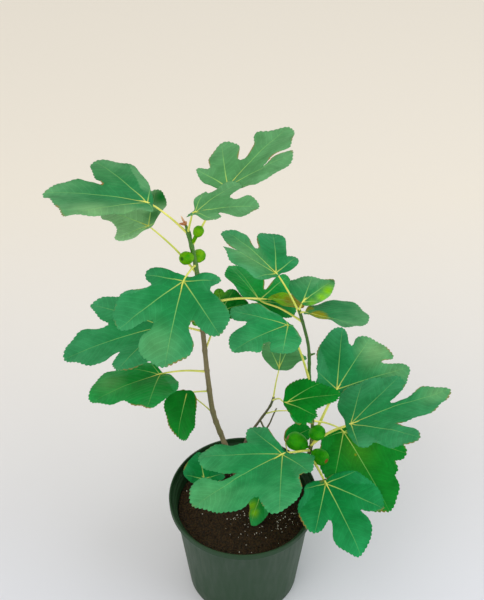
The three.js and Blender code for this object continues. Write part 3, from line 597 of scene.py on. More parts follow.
# %% Leaf table
LEAVES = {
    "left_leaf": ("left_stem", [
        {"from": 736, "root": (-67, 25, 795), "heading": -15, "pitch": 23, "roll": -10, "length": 95,
         "tint": "silver", "veins": [(-75, 0.3), (-37, 0.65), (5, 0.97), (54, 0.83), (90, 0.53)],
         "edge": [(-149, 0.1), (-127, 0.15), (-58, 0.16), (-47, 0.45), (-41, 0.58), (-37, 0.65), (-29, 0.6),
                  (-23, 0.56), (-14, 0.42), (-18, 0.56), (-17, 0.83), (-12, 0.92), (0, 0.97), (5, 0.97),
                  (11, 0.93), (17, 0.87), (22, 0.81), (22, 0.62), (33, 0.53), (37, 0.68), (43, 0.77),
                  (48, 0.83), (54, 0.83), (62, 0.81), (70, 0.76), (75, 0.7), (72, 0.44), (79, 0.41),
                  (84, 0.47), (90, 0.53), (101, 0.48), (107, 0.4), (109, 0.24), (100, 0.07), (135, 0.08)]},
        {"from": 732, "root": (-131, 50, 791), "heading": 176, "pitch": 10, "roll": 18, "length": 140,
         "tint": "greyish", "veins": [(-90, 0.33), (-52, 0.98), (-4, 1.02), (42, 0.98), (108, 0.25)],
         "edge": [(-135, 0.08), (-96, 0.19), (-90, 0.33), (-85, 0.41), (-81, 0.44), (-79, 0.6), (-76, 0.71),
                  (-67, 0.89), (-63, 0.93), (-52, 0.98), (-47, 0.93), (-43, 0.85), (-33, 0.64), (-29, 0.54),
                  (-24, 0.5), (-28, 0.61), (-27, 0.66), (-24, 0.68), (-24, 0.78), (-16, 0.92), (-9, 0.96),
                  (-4, 1.02), (2, 0.98), (18, 0.9), (42, 0.98), (59, 0.66), (64, 0.57), (81, 0.28),
                  (108, 0.25), (113, 0.15), (135, 0.08)]},
        {"from": 710, "root": (-22, 85, 790), "heading": 48, "pitch": 20, "roll": -23, "length": 128,
         "tint": "silver", "veins": [(-79, 0.47), (-40, 0.81), (3, 1.02), (51, 0.78), (84, 0.61)],
         "edge": [(-135, 0.08), (-88, 0.19), (-79, 0.47), (-73, 0.46), (-62, 0.7), (-57, 0.76), (-48, 0.8),
                  (-40, 0.81), (-34, 0.8), (-30, 0.75), (-28, 0.66), (-30, 0.58), (-36, 0.51), (-36, 0.41),
                  (-26, 0.6), (-25, 0.7), (-26, 0.79), (-18, 0.86), (-10, 0.93), (-3, 1), (3, 1.02),
                  (11, 0.95), (16, 0.89), (23, 0.87), (24, 0.79), (19, 0.68), (15, 0.57), (15, 0.47),
                  (18, 0.42), (30, 0.41), (29, 0.5), (31, 0.6), (36, 0.69), (45, 0.77), (51, 0.78),
                  (57, 0.74), (63, 0.69), (68, 0.6), (72, 0.45), (76, 0.49), (80, 0.6), (84, 0.61),
                  (94, 0.45), (103, 0.32), (112, 0.18), (135, 0.08)]},
        {"from": 675, "root": (-84, 15, 677), "heading": -103, "pitch": -13, "roll": 10, "length": 133,
         "tint": "bluish", "veins": [(-93, 0.43), (-40, 0.86), (1, 0.99), (41, 0.86), (90, 0.43)],
         "edge": [(-131, 0.13), (-124, 0.23), (-116, 0.3), (-108, 0.37), (-100, 0.43), (-93, 0.43),
                  (-84, 0.4), (-71, 0.32), (-68, 0.38), (-72, 0.57), (-68, 0.67), (-63, 0.73), (-58, 0.78),
                  (-52, 0.83), (-40, 0.86), (-36, 0.81), (-32, 0.73), (-26, 0.55), (-21, 0.54), (-18, 0.65),
                  (-22, 0.75), (-22, 0.82), (-19, 0.9), (-14, 0.95), (-4, 0.99), (1, 0.99), (7, 0.97),
                  (15, 0.92), (19, 0.87), (22, 0.8), (19, 0.62), (19, 0.56), (24, 0.52), (29, 0.65),
                  (33, 0.74), (36, 0.8), (41, 0.86), (45, 0.84), (54, 0.77), (58, 0.71), (61, 0.63),
                  (66, 0.47), (70, 0.34), (76, 0.34), (83, 0.4), (90, 0.43), (97, 0.4), (105, 0.34),
                  (113, 0.25), (119, 0.18), (123, 0.1)]},
        # This leaf lies in the shade of the leaf above it. Its tint is much lighter than its own green, as
        # painted light, and two patches on it are painted shade.
        {"from": 657, "root": (-133, 60, 740), "heading": 143, "pitch": -2, "roll": -8, "length": 83,
         "tint": "painted_light", "veins": [(-115, 0.3), (-61, 0.81), (3, 1), (65, 0.62), (91, 0.33)],
         "edge": [(-135, 0.08), (-112, 0.12), (-95, 0.37), (-91, 0.5), (-82, 0.61), (-70, 0.76),
                  (-61, 0.81), (-52, 0.78), (-40, 0.62), (-30, 0.6), (-18, 0.82), (-8, 0.95), (3, 1),
                  (10, 0.96), (17, 0.85), (22, 0.64), (36, 0.52), (56, 0.55), (65, 0.62), (74, 0.58),
                  (91, 0.33), (99, 0.17), (135, 0.08)]},
        {"from": 594, "root": (38, 88, 570), "heading": -5, "pitch": 3, "roll": -25, "length": 50,
         "stalk": 2, "tint": "rusty", "veins": [(0, 1.08)],
         "edge": [(-135, 0.08), (-53, 0.35), (-48, 0.8), (-41, 1.1), (-30, 1.14), (-15, 1.1), (-2, 1.08),
                  (12, 1.07), (22, 1.04), (31, 0.84), (50, 0.57), (82, 0.3), (135, 0.08)]},
        {"from": 540, "root": (-119, 60, 541), "heading": -160, "pitch": 2, "roll": 13, "length": 151,
         "tint": "bluish", "veins": [(-101, 0.28), (-49, 0.88), (-1, 1.02), (42, 0.87), (95, 0.28)],
         "edge": [(-135, 0.08), (-101, 0.28), (-85, 0.33), (-75, 0.56), (-67, 0.73), (-59, 0.83),
                  (-54, 0.87), (-49, 0.88), (-43, 0.78), (-35, 0.66), (-26, 0.53), (-23, 0.58), (-23, 0.77),
                  (-20, 0.84), (-10, 0.96), (-4, 1.01), (-1, 1.02), (6, 0.97), (14, 0.91), (21, 0.86),
                  (27, 0.81), (28, 0.76), (24, 0.67), (24, 0.6), (29, 0.58), (33, 0.77), (42, 0.87),
                  (46, 0.84), (59, 0.72), (67, 0.61), (71, 0.44), (77, 0.24), (135, 0.08)]},
        {"from": 496, "root": (-32, 84, 549), "heading": 20, "pitch": 10, "roll": -10, "length": 42,
         "stalk": 1.6, "tint": "deep_in_painted_shade", "veins": [(-75, 0.8), (0, 0.98), (50, 1.15), (78, 1.2)],
         "edge": [(-135, 0.08), (-110, 0.2), (-95, 0.37), (-83, 0.71), (-71, 0.86), (-58, 0.95),
                  (-40, 0.98), (-15, 0.97), (5, 1.01), (20, 1), (32, 1.02), (44, 1.14), (52, 1.2),
                  (60, 1.19), (64, 1.12), (66, 0.99), (70, 1.16), (76, 1.24), (81, 1.22), (86, 1.12),
                  (94, 0.92), (105, 0.59), (115, 0.26), (135, 0.08)]},
        {"from": 450, "root": (-126, 35, 463), "heading": -146, "pitch": 13, "roll": 20, "length": 118,
         "tint": "fresh", "veins": [(-96, 0.36), (-52, 0.5), (-2, 1), (48, 1.06), (95, 0.3)],
         "edge": [(-135, 0.08), (-118, 0.13), (-105, 0.25), (-96, 0.36), (-80, 0.42), (-66, 0.47),
                  (-52, 0.5), (-38, 0.7), (-30, 0.79), (-20, 0.88), (-13, 0.95), (-8, 1), (-2, 1),
                  (9, 0.98), (17, 0.94), (23, 0.84), (35, 0.92), (42, 0.92), (45, 1), (48, 1.06),
                  (52, 1.03), (55, 0.94), (62, 0.88), (78, 0.63), (88, 0.44), (95, 0.3), (112, 0.14),
                  (135, 0.08)]},
        {"from": 405, "root": (-87, 40, 412), "heading": -121, "pitch": -56, "roll": 18, "length": 73,
         "stalk": 1.4, "teeth": 2, "tint": "deep_in_painted_shade", "veins": [(0, 1)],
         "edge": [(-135, 0.08), (-90, 0.19), (-77, 0.33), (-63, 0.49), (-53, 0.62), (-40, 0.74),
                  (-20, 0.91), (-3, 1), (5, 1.03), (14, 1), (22, 0.94), (28, 0.82), (40, 0.72), (53, 0.55),
                  (70, 0.44), (96, 0.31), (128, 0.2), (146, 0.16)]},
        {"from": 353, "root": (-86, 66, 382), "heading": -130, "pitch": -50, "roll": 10, "length": 44,
         "stalk": 1.2, "tint": "deep_in_painted_shade", "veins": [(0, 1)],
         "edge": [(-130, 0.1), (-100, 0.3), (-75, 0.5), (-50, 0.72), (-30, 0.88), (-12, 0.98), (0, 1),
                  (12, 0.98), (30, 0.88), (50, 0.72), (75, 0.5), (100, 0.3), (130, 0.1)]},
    ]),
    "right_leaf": ("right_stem", [
        {"from": 583, "root": (87, 55, 597), "heading": 48, "pitch": 17, "roll": 10, "length": 64,
         "stalk": 1.6, "tint": "greyish", "veins": [(-54, 0.42), (-11, 0.94), (20, 0.67)],
         "edge": [(-135, 0.08), (-110, 0.14), (-80, 0.26), (-54, 0.42), (-38, 0.64), (-30, 0.73),
                  (-20, 0.86), (-11, 0.94), (-5, 0.86), (3, 0.74), (20, 0.67), (36, 0.64), (48, 0.61),
                  (56, 0.58), (66, 0.61), (80, 0.48), (94, 0.34), (112, 0.2), (135, 0.08)]},
        {"from": 578, "root": (94, 38, 590), "heading": -22, "pitch": 10, "roll": -26, "length": 95,
         "stalk": 1.5, "tint": "greyish", "veins": [(0, 0.86)],
         "edge": [(-135, 0.08), (-60, 0.12), (-24, 0.48), (-26, 0.62), (-23, 0.75), (-12, 0.81), (4, 0.86),
                  (13, 0.92), (22, 0.94), (46, 0.88), (68, 0.86), (73, 0.76), (75, 0.6), (82, 0.52),
                  (110, 0.24), (126, 0.12)]},
        {"from": 570, "root": (47, 60, 650), "heading": 138, "pitch": 17, "roll": 21, "length": 104,
         "tint": "bluish", "veins": [(-85, 0.57), (-50, 0.87), (-5, 1.02), (25, 0.82), (83, 0.5)],
         "edge": [(-130, 0.07), (-106, 0.29), (-100, 0.42), (-92, 0.53), (-85, 0.57), (-79, 0.52),
                  (-72, 0.41), (-65, 0.73), (-62, 0.84), (-57, 0.87), (-50, 0.87), (-40, 0.86), (-35, 0.81),
                  (-29, 0.73), (-26, 0.63), (-26, 0.56), (-21, 0.49), (-13, 0.47), (-11, 0.51), (-15, 0.6),
                  (-20, 0.7), (-20, 0.8), (-14, 0.84), (-13, 0.91), (-10, 0.97), (-5, 1.02), (4, 0.96),
                  (11, 0.86), (15, 0.75), (24, 0.53), (20, 0.73), (25, 0.82), (36, 0.77), (48, 0.73),
                  (55, 0.69), (70, 0.54), (83, 0.5), (92, 0.42), (101, 0.3), (107, 0.14), (135, 0.08)]},
        {"from": 560, "root": (24, 95, 561), "heading": 102, "pitch": 0, "roll": 27, "length": 90,
         "tint": "fresh", "veins": [(-92, 0.66), (-43, 1.17), (14, 0.93), (26, 0.86), (108, 0.32)],
         "edge": [(-148, 0.26), (-141, 0.44), (-132, 0.54), (-118, 0.61), (-104, 0.66), (-92, 0.66),
                  (-74, 0.6), (-64, 0.76), (-54, 0.95), (-47, 1.12), (-43, 1.17), (-39, 1.12), (-35, 0.9),
                  (-33, 0.37), (-28, 0.36), (-25, 0.5), (-20, 0.72), (-10, 0.86), (0, 0.93), (14, 0.93),
                  (26, 0.86), (38, 0.78), (50, 0.72), (58, 0.67), (64, 0.61), (69, 0.49), (108, 0.32),
                  (120, 0.2), (135, 0.08)]},
        {"from": 432, "root": (65, 20, 584), "heading": -143, "pitch": 14, "roll": 8, "length": 101,
         "stalk": 2, "tint": "sea", "veins": [(-115, 0.28), (-51, 0.86), (0, 1), (44, 0.85), (98, 0.28)],
         "edge": [(-135, 0.08), (-101, 0.1), (-97, 0.21), (-92, 0.35), (-88, 0.48), (-84, 0.59),
                  (-69, 0.75), (-60, 0.84), (-51, 0.86), (-44, 0.83), (-39, 0.78), (-36, 0.7), (-33, 0.58),
                  (-26, 0.63), (-24, 0.75), (-19, 0.85), (-13, 0.93), (-6, 0.99), (0, 1), (7, 0.98),
                  (22, 0.88), (23, 0.8), (19, 0.66), (20, 0.59), (25, 0.56), (27, 0.66), (31, 0.77),
                  (38, 0.83), (44, 0.85), (52, 0.8), (60, 0.71), (68, 0.57), (75, 0.42), (82, 0.26),
                  (86, 0.12), (135, 0.08)]},
        {"from": 336, "root": (166, 96, 256), "heading": -57, "pitch": -19, "roll": -5, "length": 142,
         "tint": "deep_in_painted_shade", "veins": [(-97, 0.22), (-45, 0.7), (0, 1.05), (43, 0.78), (79, 0.23)],
         "edge": [(-135, 0.08), (-119, 0.1), (-110, 0.17), (-98, 0.31), (-77, 0.44), (-68, 0.55),
                  (-62, 0.62), (-53, 0.67), (-45, 0.7), (-34, 0.69), (-27, 0.71), (-22, 0.82), (-16, 0.92),
                  (-11, 0.98), (0, 1.05), (5, 1.02), (16, 0.9), (19, 0.84), (21, 0.75), (24, 0.77),
                  (28, 0.75), (31, 0.67), (33, 0.68), (37, 0.76), (43, 0.78), (48, 0.76), (55, 0.66),
                  (64, 0.45), (79, 0.23), (96, 0.12), (135, 0.08)]},
        {"from": 285, "root": (152, 115, 339), "heading": 49, "pitch": 18, "roll": 2, "length": 114,
         "stalk": 2.8, "tint": "bluish",
         "veins": [(-108, 0.28), (-36, 1.08), (8, 0.98), (33, 1.03), (82, 0.38)],
         "edge": [(-135, 0.08), (-108, 0.28), (-101, 0.28), (-75, 0.55), (-67, 0.77), (-58, 0.92),
                  (-50, 0.99), (-44, 1.01), (-40, 1.06), (-36, 1.08), (-31, 1.01), (-27, 0.91), (-21, 0.74),
                  (-18, 0.76), (-22, 0.92), (-19, 0.97), (-10, 0.98), (-1, 0.98), (8, 0.98), (14, 0.95),
                  (19, 0.89), (20, 0.82), (19, 0.75), (21, 0.72), (25, 0.77), (27, 0.88), (30, 0.98),
                  (33, 1.03), (38, 1.01), (44, 0.93), (52, 0.81), (58, 0.72), (65, 0.62), (73, 0.46),
                  (79, 0.45), (82, 0.38), (98, 0.31), (106, 0.34), (135, 0.08)]},
        {"from": 277, "root": (168, 18, 366), "heading": 2, "pitch": 29, "roll": -16, "length": 160,
         "stalk": 2.6, "tint": "bluish",
         "veins": [(-76, 0.53), (-41, 0.96), (6, 1.02), (42, 0.71), (77, 0.61)],
         "edge": [(-124, 0.08), (-95, 0.19), (-82, 0.37), (-76, 0.53), (-68, 0.59), (-62, 0.57),
                  (-59, 0.71), (-56, 0.83), (-50, 0.92), (-47, 0.94), (-41, 0.96), (-37, 0.9), (-33, 0.78),
                  (-34, 0.67), (-30, 0.55), (-26, 0.65), (-20, 0.76), (-12, 0.88), (6, 1.02), (15, 0.85),
                  (18, 0.77), (13, 0.59), (10, 0.46), (18, 0.42), (22, 0.44), (21, 0.49), (24, 0.6),
                  (32, 0.68), (42, 0.71), (59, 0.65), (77, 0.61), (93, 0.58), (104, 0.51), (111, 0.4),
                  (117, 0.29), (123, 0.13)]},
        {"from": 262, "root": (62, 3, 311), "heading": -139, "pitch": 7, "roll": 19, "length": 171,
         "stalk": 2, "arch": 0.01, "tint": "sea",
         "veins": [(-97, 0.52), (-46, 0.78), (-7, 0.99), (46, 0.94), (78, 0.5)],
         "edge": [(-135, 0.08), (-121, 0.2), (-114, 0.46), (-105, 0.52), (-97, 0.52), (-90, 0.49),
                  (-82, 0.44), (-72, 0.36), (-62, 0.48), (-63, 0.58), (-60, 0.65), (-52, 0.76), (-46, 0.78),
                  (-40, 0.77), (-33, 0.72), (-28, 0.67), (-22, 0.6), (-18, 0.5), (-14, 0.46), (-11, 0.52),
                  (-15, 0.65), (-24, 0.77), (-24, 0.85), (-20, 0.91), (-12, 0.98), (-7, 0.99), (4, 0.93),
                  (11, 0.93), (18, 0.9), (24, 0.8), (25, 0.71), (29, 0.67), (36, 0.84), (40, 0.92),
                  (46, 0.94), (50, 0.92), (59, 0.77), (63, 0.68), (66, 0.47), (78, 0.5), (85, 0.46),
                  (117, 0.32), (123, 0.21), (127, 0.09), (-117, 0.09), (135, 0.08)]},
        {"from": 250, "root": (130, -35, 285), "heading": -62, "pitch": -17, "roll": -5, "length": 124,
         "stalk": 2.6, "tint": "dusky",
         "veins": [(-95, 0.33), (-41, 0.72), (0, 0.99), (42, 0.8), (88, 0.43)],
         "edge": [(-135, 0.08), (-121, 0.17), (-107, 0.27), (-95, 0.33), (-84, 0.35), (-78, 0.47),
                  (-71, 0.56), (-63, 0.64), (-51, 0.7), (-41, 0.72), (-34, 0.66), (-24, 0.47), (-20, 0.5),
                  (-22, 0.72), (-18, 0.82), (-11, 0.91), (-4, 0.99), (0, 0.99), (6, 0.94), (14, 0.87),
                  (22, 0.78), (25, 0.67), (25, 0.56), (28, 0.52), (31, 0.62), (37, 0.74), (42, 0.8),
                  (52, 0.75), (60, 0.67), (71, 0.57), (88, 0.43), (102, 0.29), (118, 0.16), (-110, 0.09),
                  (135, 0.08)]},
    ]),
    "right_arm_leaf": ("right_arm", [
        {"from": 214, "root": (70, 71, 263), "heading": 35, "pitch": 5, "roll": 12, "length": 47,
         "stalk": 1.3, "tint": "deep_in_painted_shade", "veins": [(-85, 0.32), (-3, 1.06), (85, 0.32)],
         "edge": [(-135, 0.08), (-75, 0.16), (-56, 0.3), (-44, 0.44), (-40, 0.64), (-32, 0.8), (-18, 0.93),
                  (-3, 1.06), (7, 1.01), (17, 0.93), (26, 0.83), (34, 0.69), (46, 0.5), (60, 0.34),
                  (88, 0.14), (135, 0.08)]},
        {"from": 191, "root": (-64, 32, 212), "heading": 126, "pitch": 15, "roll": 2, "length": 51,
         "stalk": 1.2, "arch": -0.02, "tint": "dusky", "veins": [(-105, 0.6), (-23, 0.97), (50, 0.63)],
         "edge": [(-145, 0.2), (-136, 0.39), (-128, 0.57), (-118, 0.68), (-105, 0.64), (-88, 0.55),
                  (-62, 0.52), (-45, 0.65), (-36, 0.83), (-30, 0.97), (-23, 1.01), (-15, 0.93),
                  (-6, 0.85), (7, 0.8), (21, 0.76), (37, 0.72), (50, 0.67), (61, 0.6), (74, 0.51),
                  (84, 0.46), (88, 0.32), (99, 0.2), (140, 0.08)]},
        {"from": 199, "root": (31, 5, 212), "heading": -103, "pitch": -12, "roll": 23, "length": 57,
         "stalk": 1.2, "tint": "fresh", "veins": [(-57, 0.52), (-10, 1.02), (48, 0.42)],
         "edge": [(-135, 0.08), (-64, 0.3), (-57, 0.52), (-47, 0.5), (-37, 0.51), (-25, 0.61), (-21, 0.75),
                  (-14, 0.88), (-10, 1.02), (0, 0.99), (14, 0.92), (25, 0.81), (34, 0.66), (48, 0.42),
                  (70, 0.25), (135, 0.08)]},
    ]),
    "side_twig_leaf": ("side_twig", [
        # This leaf lies in the shade of the leaf above it and wears a lighter tint than its own green, as
        # painted light.
        {"from": 375, "root": (55, 56, 454), "heading": 90, "pitch": 40, "roll": 0, "length": 68,
         "stalk": 1.3, "tint": "silver", "veins": [(-25, 0.72), (-6, 0.8), (25, 0.68)],
         "edge": [(-135, 0.08), (-110, 0.2), (-92, 0.31), (-79, 0.37), (-72, 0.5), (-75, 0.64), (-69, 0.67),
                  (-58, 0.58), (-44, 0.62), (-25, 0.72), (-6, 0.8), (10, 0.78), (25, 0.68), (40, 0.58),
                  (52, 0.5), (62, 0.38), (100, 0.14), (135, 0.08)]},
        {"from": 370, "root": (65, 4, 433), "heading": 8, "pitch": 14, "roll": -3, "length": 80,
         "stalk": 1.4, "teeth": 2.4, "tint": "deep_in_painted_shade", "veins": [(-48, 0.77), (-3, 1.02), (22, 0.76)],
         "edge": [(-135, 0.08), (-102, 0.13), (-90, 0.29), (-76, 0.62), (-70, 0.76), (-65, 0.77),
                  (-48, 0.77), (-44, 0.69), (-36, 0.62), (-32, 0.7), (-21, 0.82), (-12, 0.94), (-3, 1.02),
                  (2, 1), (10, 0.88), (22, 0.76), (29, 0.67), (44, 0.62), (58, 0.54), (70, 0.43), (82, 0.3),
                  (92, 0.15), (135, 0.08)]},
        {"from": 322, "root": (76, 46, 364), "heading": -10, "pitch": -25, "roll": 0, "length": 44,
         "stalk": 1.2, "tint": "fresh", "veins": [(-45, 0.6), (0, 1), (45, 0.6)],
         "edge": [(-125, 0.12), (-95, 0.32), (-70, 0.5), (-45, 0.6), (-22, 0.5), (-12, 0.8), (0, 1),
                  (12, 0.8), (22, 0.5), (45, 0.6), (70, 0.5), (95, 0.32), (125, 0.12)]},
    ]),
}
print("leaves:", sum(len(leaves) for _, leaves in LEAVES.values()))

# %% [markdown]
# No leaf is one even green. Where light glances off a blade it is painted paler and greyer, as painted
# sheen, and where it lies in shade it is painted darker, as painted shade. Some places are lime green, and
# an old wound is rusty. Such a patch is given by its place on the blade, as an angle and a share like the
# points of the edge, its width as a share of the length, and its strength.

# %% Patches on the leaves
PATCHES = {
    "left_leaf_2": [("painted_light", 46, 0.67, 0.25, 0.45), ("painted_light", 65, 0.44, 0.2, 0.45),
                    ("painted_shade", -44, 0.65, 0.3, 0.35)],
    "left_leaf_4": [("painted_light", -8, 0.8, 0.25, 0.2), ("painted_shade", 47, 0.53, 0.3, 0.2)],
    "left_leaf_5": [("painted_shade", -73, 0.65, 0.28, 1.0), ("painted_shade", -81, 0.24, 0.2, 0.8)],
    "left_leaf_6": [("rust", 43, 0.24, 0.3, 0.5), ("rust", 1, 0.63, 0.4, 0.75)],
    "left_leaf_8": [("lime", 78, 1.0, 0.3, 0.5)],
    "left_leaf_9": [("painted_light", -18, 0.67, 0.2, 0.3), ("painted_shade", 22, 0.23, 0.2, 0.3)],
    "right_leaf_1": [("lime", -38, 0.45, 0.14, 0.9), ("lime", -26, 0.64, 0.14, 1.0),
                     ("lime", -64, 0.22, 0.12, 0.7), ("painted_shade", -13, 0.9, 0.12, 0.6)],
    "right_leaf_2": [("rust", 111, 0.17, 0.12, 0.8), ("rust", -1, 0.17, 0.16, 1.0),
                     ("rust", -18, 0.34, 0.14, 0.8)],
    "right_leaf_3": [("painted_light", 11, 0.44, 0.4, 0.4), ("painted_shade", -54, 0.42, 0.35, 0.3)],
    "right_leaf_6": [("lime", 4, 0.27, 0.2, 0.15), ("rust", -6, 0.31, 0.02, 1.0)],
    "right_leaf_7": [("painted_shade", 43, 0.58, 0.3, 0.35), ("painted_light", -4, 0.86, 0.3, 0.6),
                     ("painted_light", -35, 0.9, 0.25, 0.3)],
    "right_leaf_8": [("painted_light", 7, 0.89, 0.15, 0.35)],
    "right_leaf_9": [("painted_light", -7, 0.85, 0.25, 0.15), ("painted_shade", 72, 0.23, 0.25, 0.2)],
    "right_arm_leaf_3": [("lime", -26, 0.5, 0.14, 1.0), ("lime", -9, 0.66, 0.12, 1.0)],
}
print("patches:", sum(len(patches) for patches in PATCHES.values()), "on", len(PATCHES), "leaves")

# %% [markdown]
# ## Bark
#
# The lower stem is grey brown with an olive cast, the upper wood green, so the colour follows the height.
# Fine wrinkles run along the stem and are stretched with the pattern's upright scale. The lenticels are
# paler dots a millimetre across.

# %% Bark materials
BARKS = {
    "young_fig_bark": {"low": "#877a56", "high": "#4c8a32", "turn": (0.56, 0.70)},
    "green_fig_bark": {"low": "#6a6442", "high": "#437a2e", "turn": (0.24, 0.36)},
    "twig_bark": {"low": "#7a6a55", "high": "#55603c", "turn": (0.27, 0.38)},
}
WRINKLE = 1.6 * MM
WRINKLE_STRETCH = (1, 1, 0.25)
WRINKLE_DEPTH = 0.4 * MM
WEATHERING = (0.35, 0.7, 0.0, 0.45)
WEATHERED = "#5a4e3a"
LENTICEL = 4.5 * MM
LENTICEL_SIZE = (0.1, 0.16, 0.75, 0.0)
LENTICEL_COLOUR = "#a59a78"

bark = {}
for name, look in BARKS.items():
    bark[name], tree = new_material(name)
    place = add(tree, "TexCoord").outputs["Object"]
    height = add(tree, "SeparateXYZ", [place]).outputs["Z"]
    green = add(tree, "MapRange", [height, *look["turn"]]).outputs[0]
    tall = add(tree, "Mapping", {"Vector": place, "Scale": WRINKLE_STRETCH}).outputs[0]
    wrinkles = add(tree, "TexNoise", {"Vector": tall, "Scale": 1 / WRINKLE, "Detail": 4}).outputs["Fac"]
    worn = add(tree, "MapRange", [wrinkles, *WEATHERING]).outputs[0]
    dots = add(tree, "TexVoronoi", {"Vector": place, "Scale": 1 / LENTICEL}).outputs["Distance"]
    dotted = add(tree, "MapRange", [dots, *LENTICEL_SIZE]).outputs[0]
    tone = colour(look["low"])
    for factor, code in ((green, look["high"]), (worn, WEATHERED), (dotted, LENTICEL_COLOUR)):
        tone = add(tree, "Mix", {FACTOR: factor, FIRST: tone, SECOND: colour(code)},
                   data_type="RGBA").outputs[MIXED]
    relief = add(tree, "Bump", {"Height": wrinkles, "Strength": 0.5, "Distance": WRINKLE_DEPTH}).outputs[0]
    shader = add(tree, "BsdfPrincipled", {"Base Color": tone, "Roughness": 0.7, "Normal": relief})
    add(tree, "OutputMaterial", {"Surface": shader.outputs[0]})
print("materials:", list(bark))

# %% [markdown]
# Each stem is thicker at its nodes, where a leaf grew or still grows, so its radius is worked out at every
# station from the heights of its nodes and of its leaves' stalks.

# %% Stem radius
FLARE_LENGTH = 14 * MM
SWELLING = 0.16
SWELLING_LENGTH = 4 * MM


def stem_radius(name, line):
    """A function from the share of a stem's length to its radius, with its flare and its nodes."""
    stem = STEMS[name]
    length = len(line) * STEM_STEP
    stalks = [leaf["from"] for grows_on, leaves in LEAVES.values() if grows_on == name for leaf in leaves]
    heights = [height * MM for height in stem["nodes"] + stalks]

    def radius(share):
        here = line[round(share * (len(line) - 1))].z
        plain = stem["radius"] + (stem["tip"] - stem["radius"]) * share
        flare = stem["flare"] * math.exp(-share * length / FLARE_LENGTH)
        swell = max([math.exp(-((here - height) / SWELLING_LENGTH) ** 2) for height in heights] + [0])
        return (plain * (1 + SWELLING * swell) + flare) * MM
    return radius


print("left stem at the foot:", round(2000 * stem_radius("left_stem", LINES["left_stem"])(0), 1), "mm thick")

# %% [markdown]
# A stem starts a little below the surface of the compost, which hides its cut end. Its side shoots are
# limbs with a plain taper. The bark's long shallow ridges are pressed in last, into stem and shoots alike.

# %% Grow the stems
STEM_SIDES = 24
STEM_SUNK = 4 * MM
SHOOT_SIDES = 12
RIDGE = 0.28 * MM
RIDGE_WIDTH = 2.2 * MM
RIDGE_STRETCH = 0.2
BARK_OF = {"left_stem": "young_fig_bark", "right_arm": "young_fig_bark", "right_stem": "green_fig_bark",
           "side_twig": "twig_bark"}


def press_bark(bm):
    """Presses long shallow ridges into a stem's surface."""
    bm.normal_update()
    for vert in bm.verts:
        stretched = Vector((vert.co.x, vert.co.y, vert.co.z * RIDGE_STRETCH)) / RIDGE_WIDTH
        vert.co += vert.normal * RIDGE * noise.noise(stretched)


def shoot_line(shoot):
    """A side shoot's centre line."""
    start = point_at_height(LINES[shoot["stem"]], shoot["from"]) / MM
    return smooth_line([start, *shoot["path"]], SHOOT_STEP)


for name, line in LINES.items():
    bm = bmesh.new()
    above = [point for point in line if point.z > SOIL_LEVEL - STEM_SUNK]
    limb(bm, above, stem_radius(name, line), STEM_SIDES)
    for shoot in SHOOTS:
        if shoot["stem"] == name:
            taper = shoot["tip"] - shoot["radius"]
            limb(bm, shoot_line(shoot), lambda t: (shoot["radius"] + taper * t) * MM, SHOOT_SIDES)
    bmesh.ops.recalc_face_normals(bm, faces=bm.faces)
    press_bark(bm)
    piece(name + "_bark", bm, [bark[BARK_OF[name]]], [name])

# %% [markdown]
# ## The growing tip
#
# The woody stem ends in a bud of a few pointed scales that stand apart. They are orange brown and dry to a
# pale straw colour at the very tip. Each scale is a small limb of its own that grows from inside the shoot.

# %% Bud at the tip
BUD_LOW = "#a8561f"
BUD_HIGH = "#e6bd93"
BUD_TURN = (0.752, 0.766)
BUD_SHARE = 0.3
BUD_SCALES = [
    {"tip": (-89, 50, 753), "radius": 2.3},
    {"tip": (-86, 49, 768), "radius": 1.7},
    {"tip": (-79, 48, 759), "radius": 2.2},
    {"tip": (-83, 46, 757), "radius": 2.4},
]
BUD_STEPS = 12
BUD_SIDES = 12
BUD_CURVE = 1.6
BUD_POINT = 0.02

bud_skin, tree = new_material("dry_bud_scales")
place = add(tree, "TexCoord").outputs["Object"]
height = add(tree, "SeparateXYZ", [place]).outputs["Z"]
dry = add(tree, "MapRange", [height, *BUD_TURN]).outputs[0]
tone = add(tree, "Mix", {FACTOR: dry, FIRST: colour(BUD_LOW), SECOND: colour(BUD_HIGH)},
           data_type="RGBA").outputs[MIXED]
shader = add(tree, "BsdfPrincipled", {"Base Color": tone, "Roughness": 0.6})
add(tree, "OutputMaterial", {"Surface": shader.outputs[0]})

shoot = shoot_line(SHOOTS[0])
bud_foot = shoot[-1].lerp(shoot[0], BUD_SHARE)
bm = bmesh.new()
for scale in BUD_SCALES:
    line = [bud_foot.lerp(Vector(scale["tip"]) * MM, step / BUD_STEPS) for step in range(BUD_STEPS + 1)]
    limb(bm, line, lambda t: scale["radius"] * MM * math.sqrt(max(BUD_POINT, 1 - t ** BUD_CURVE)), BUD_SIDES)
bmesh.ops.recalc_face_normals(bm, faces=bm.faces)
piece("left_stem_bud", bm, [bud_skin])

# %% [markdown]
# ## The leaf blade's edge
#
# The walk round the blade is set out again at even small steps and smoothed, which rounds the bottoms of
# the slits. Every third point is then left behind the others, as the narrow cut between two blunt teeth.

# %% Blade edge
EDGE_SPACING = (1.2, 0.009)
TEETH = (0.0, 0.85, 1.0)
TOOTH = 0.015
TOOTHLESS = 0.25
ROUNDING = 4


def edge_spacing(leaf):
    """How far apart a leaf's edge points are: a little more on a larger leaf."""
    return EDGE_SPACING[0] + EDGE_SPACING[1] * leaf["length"]


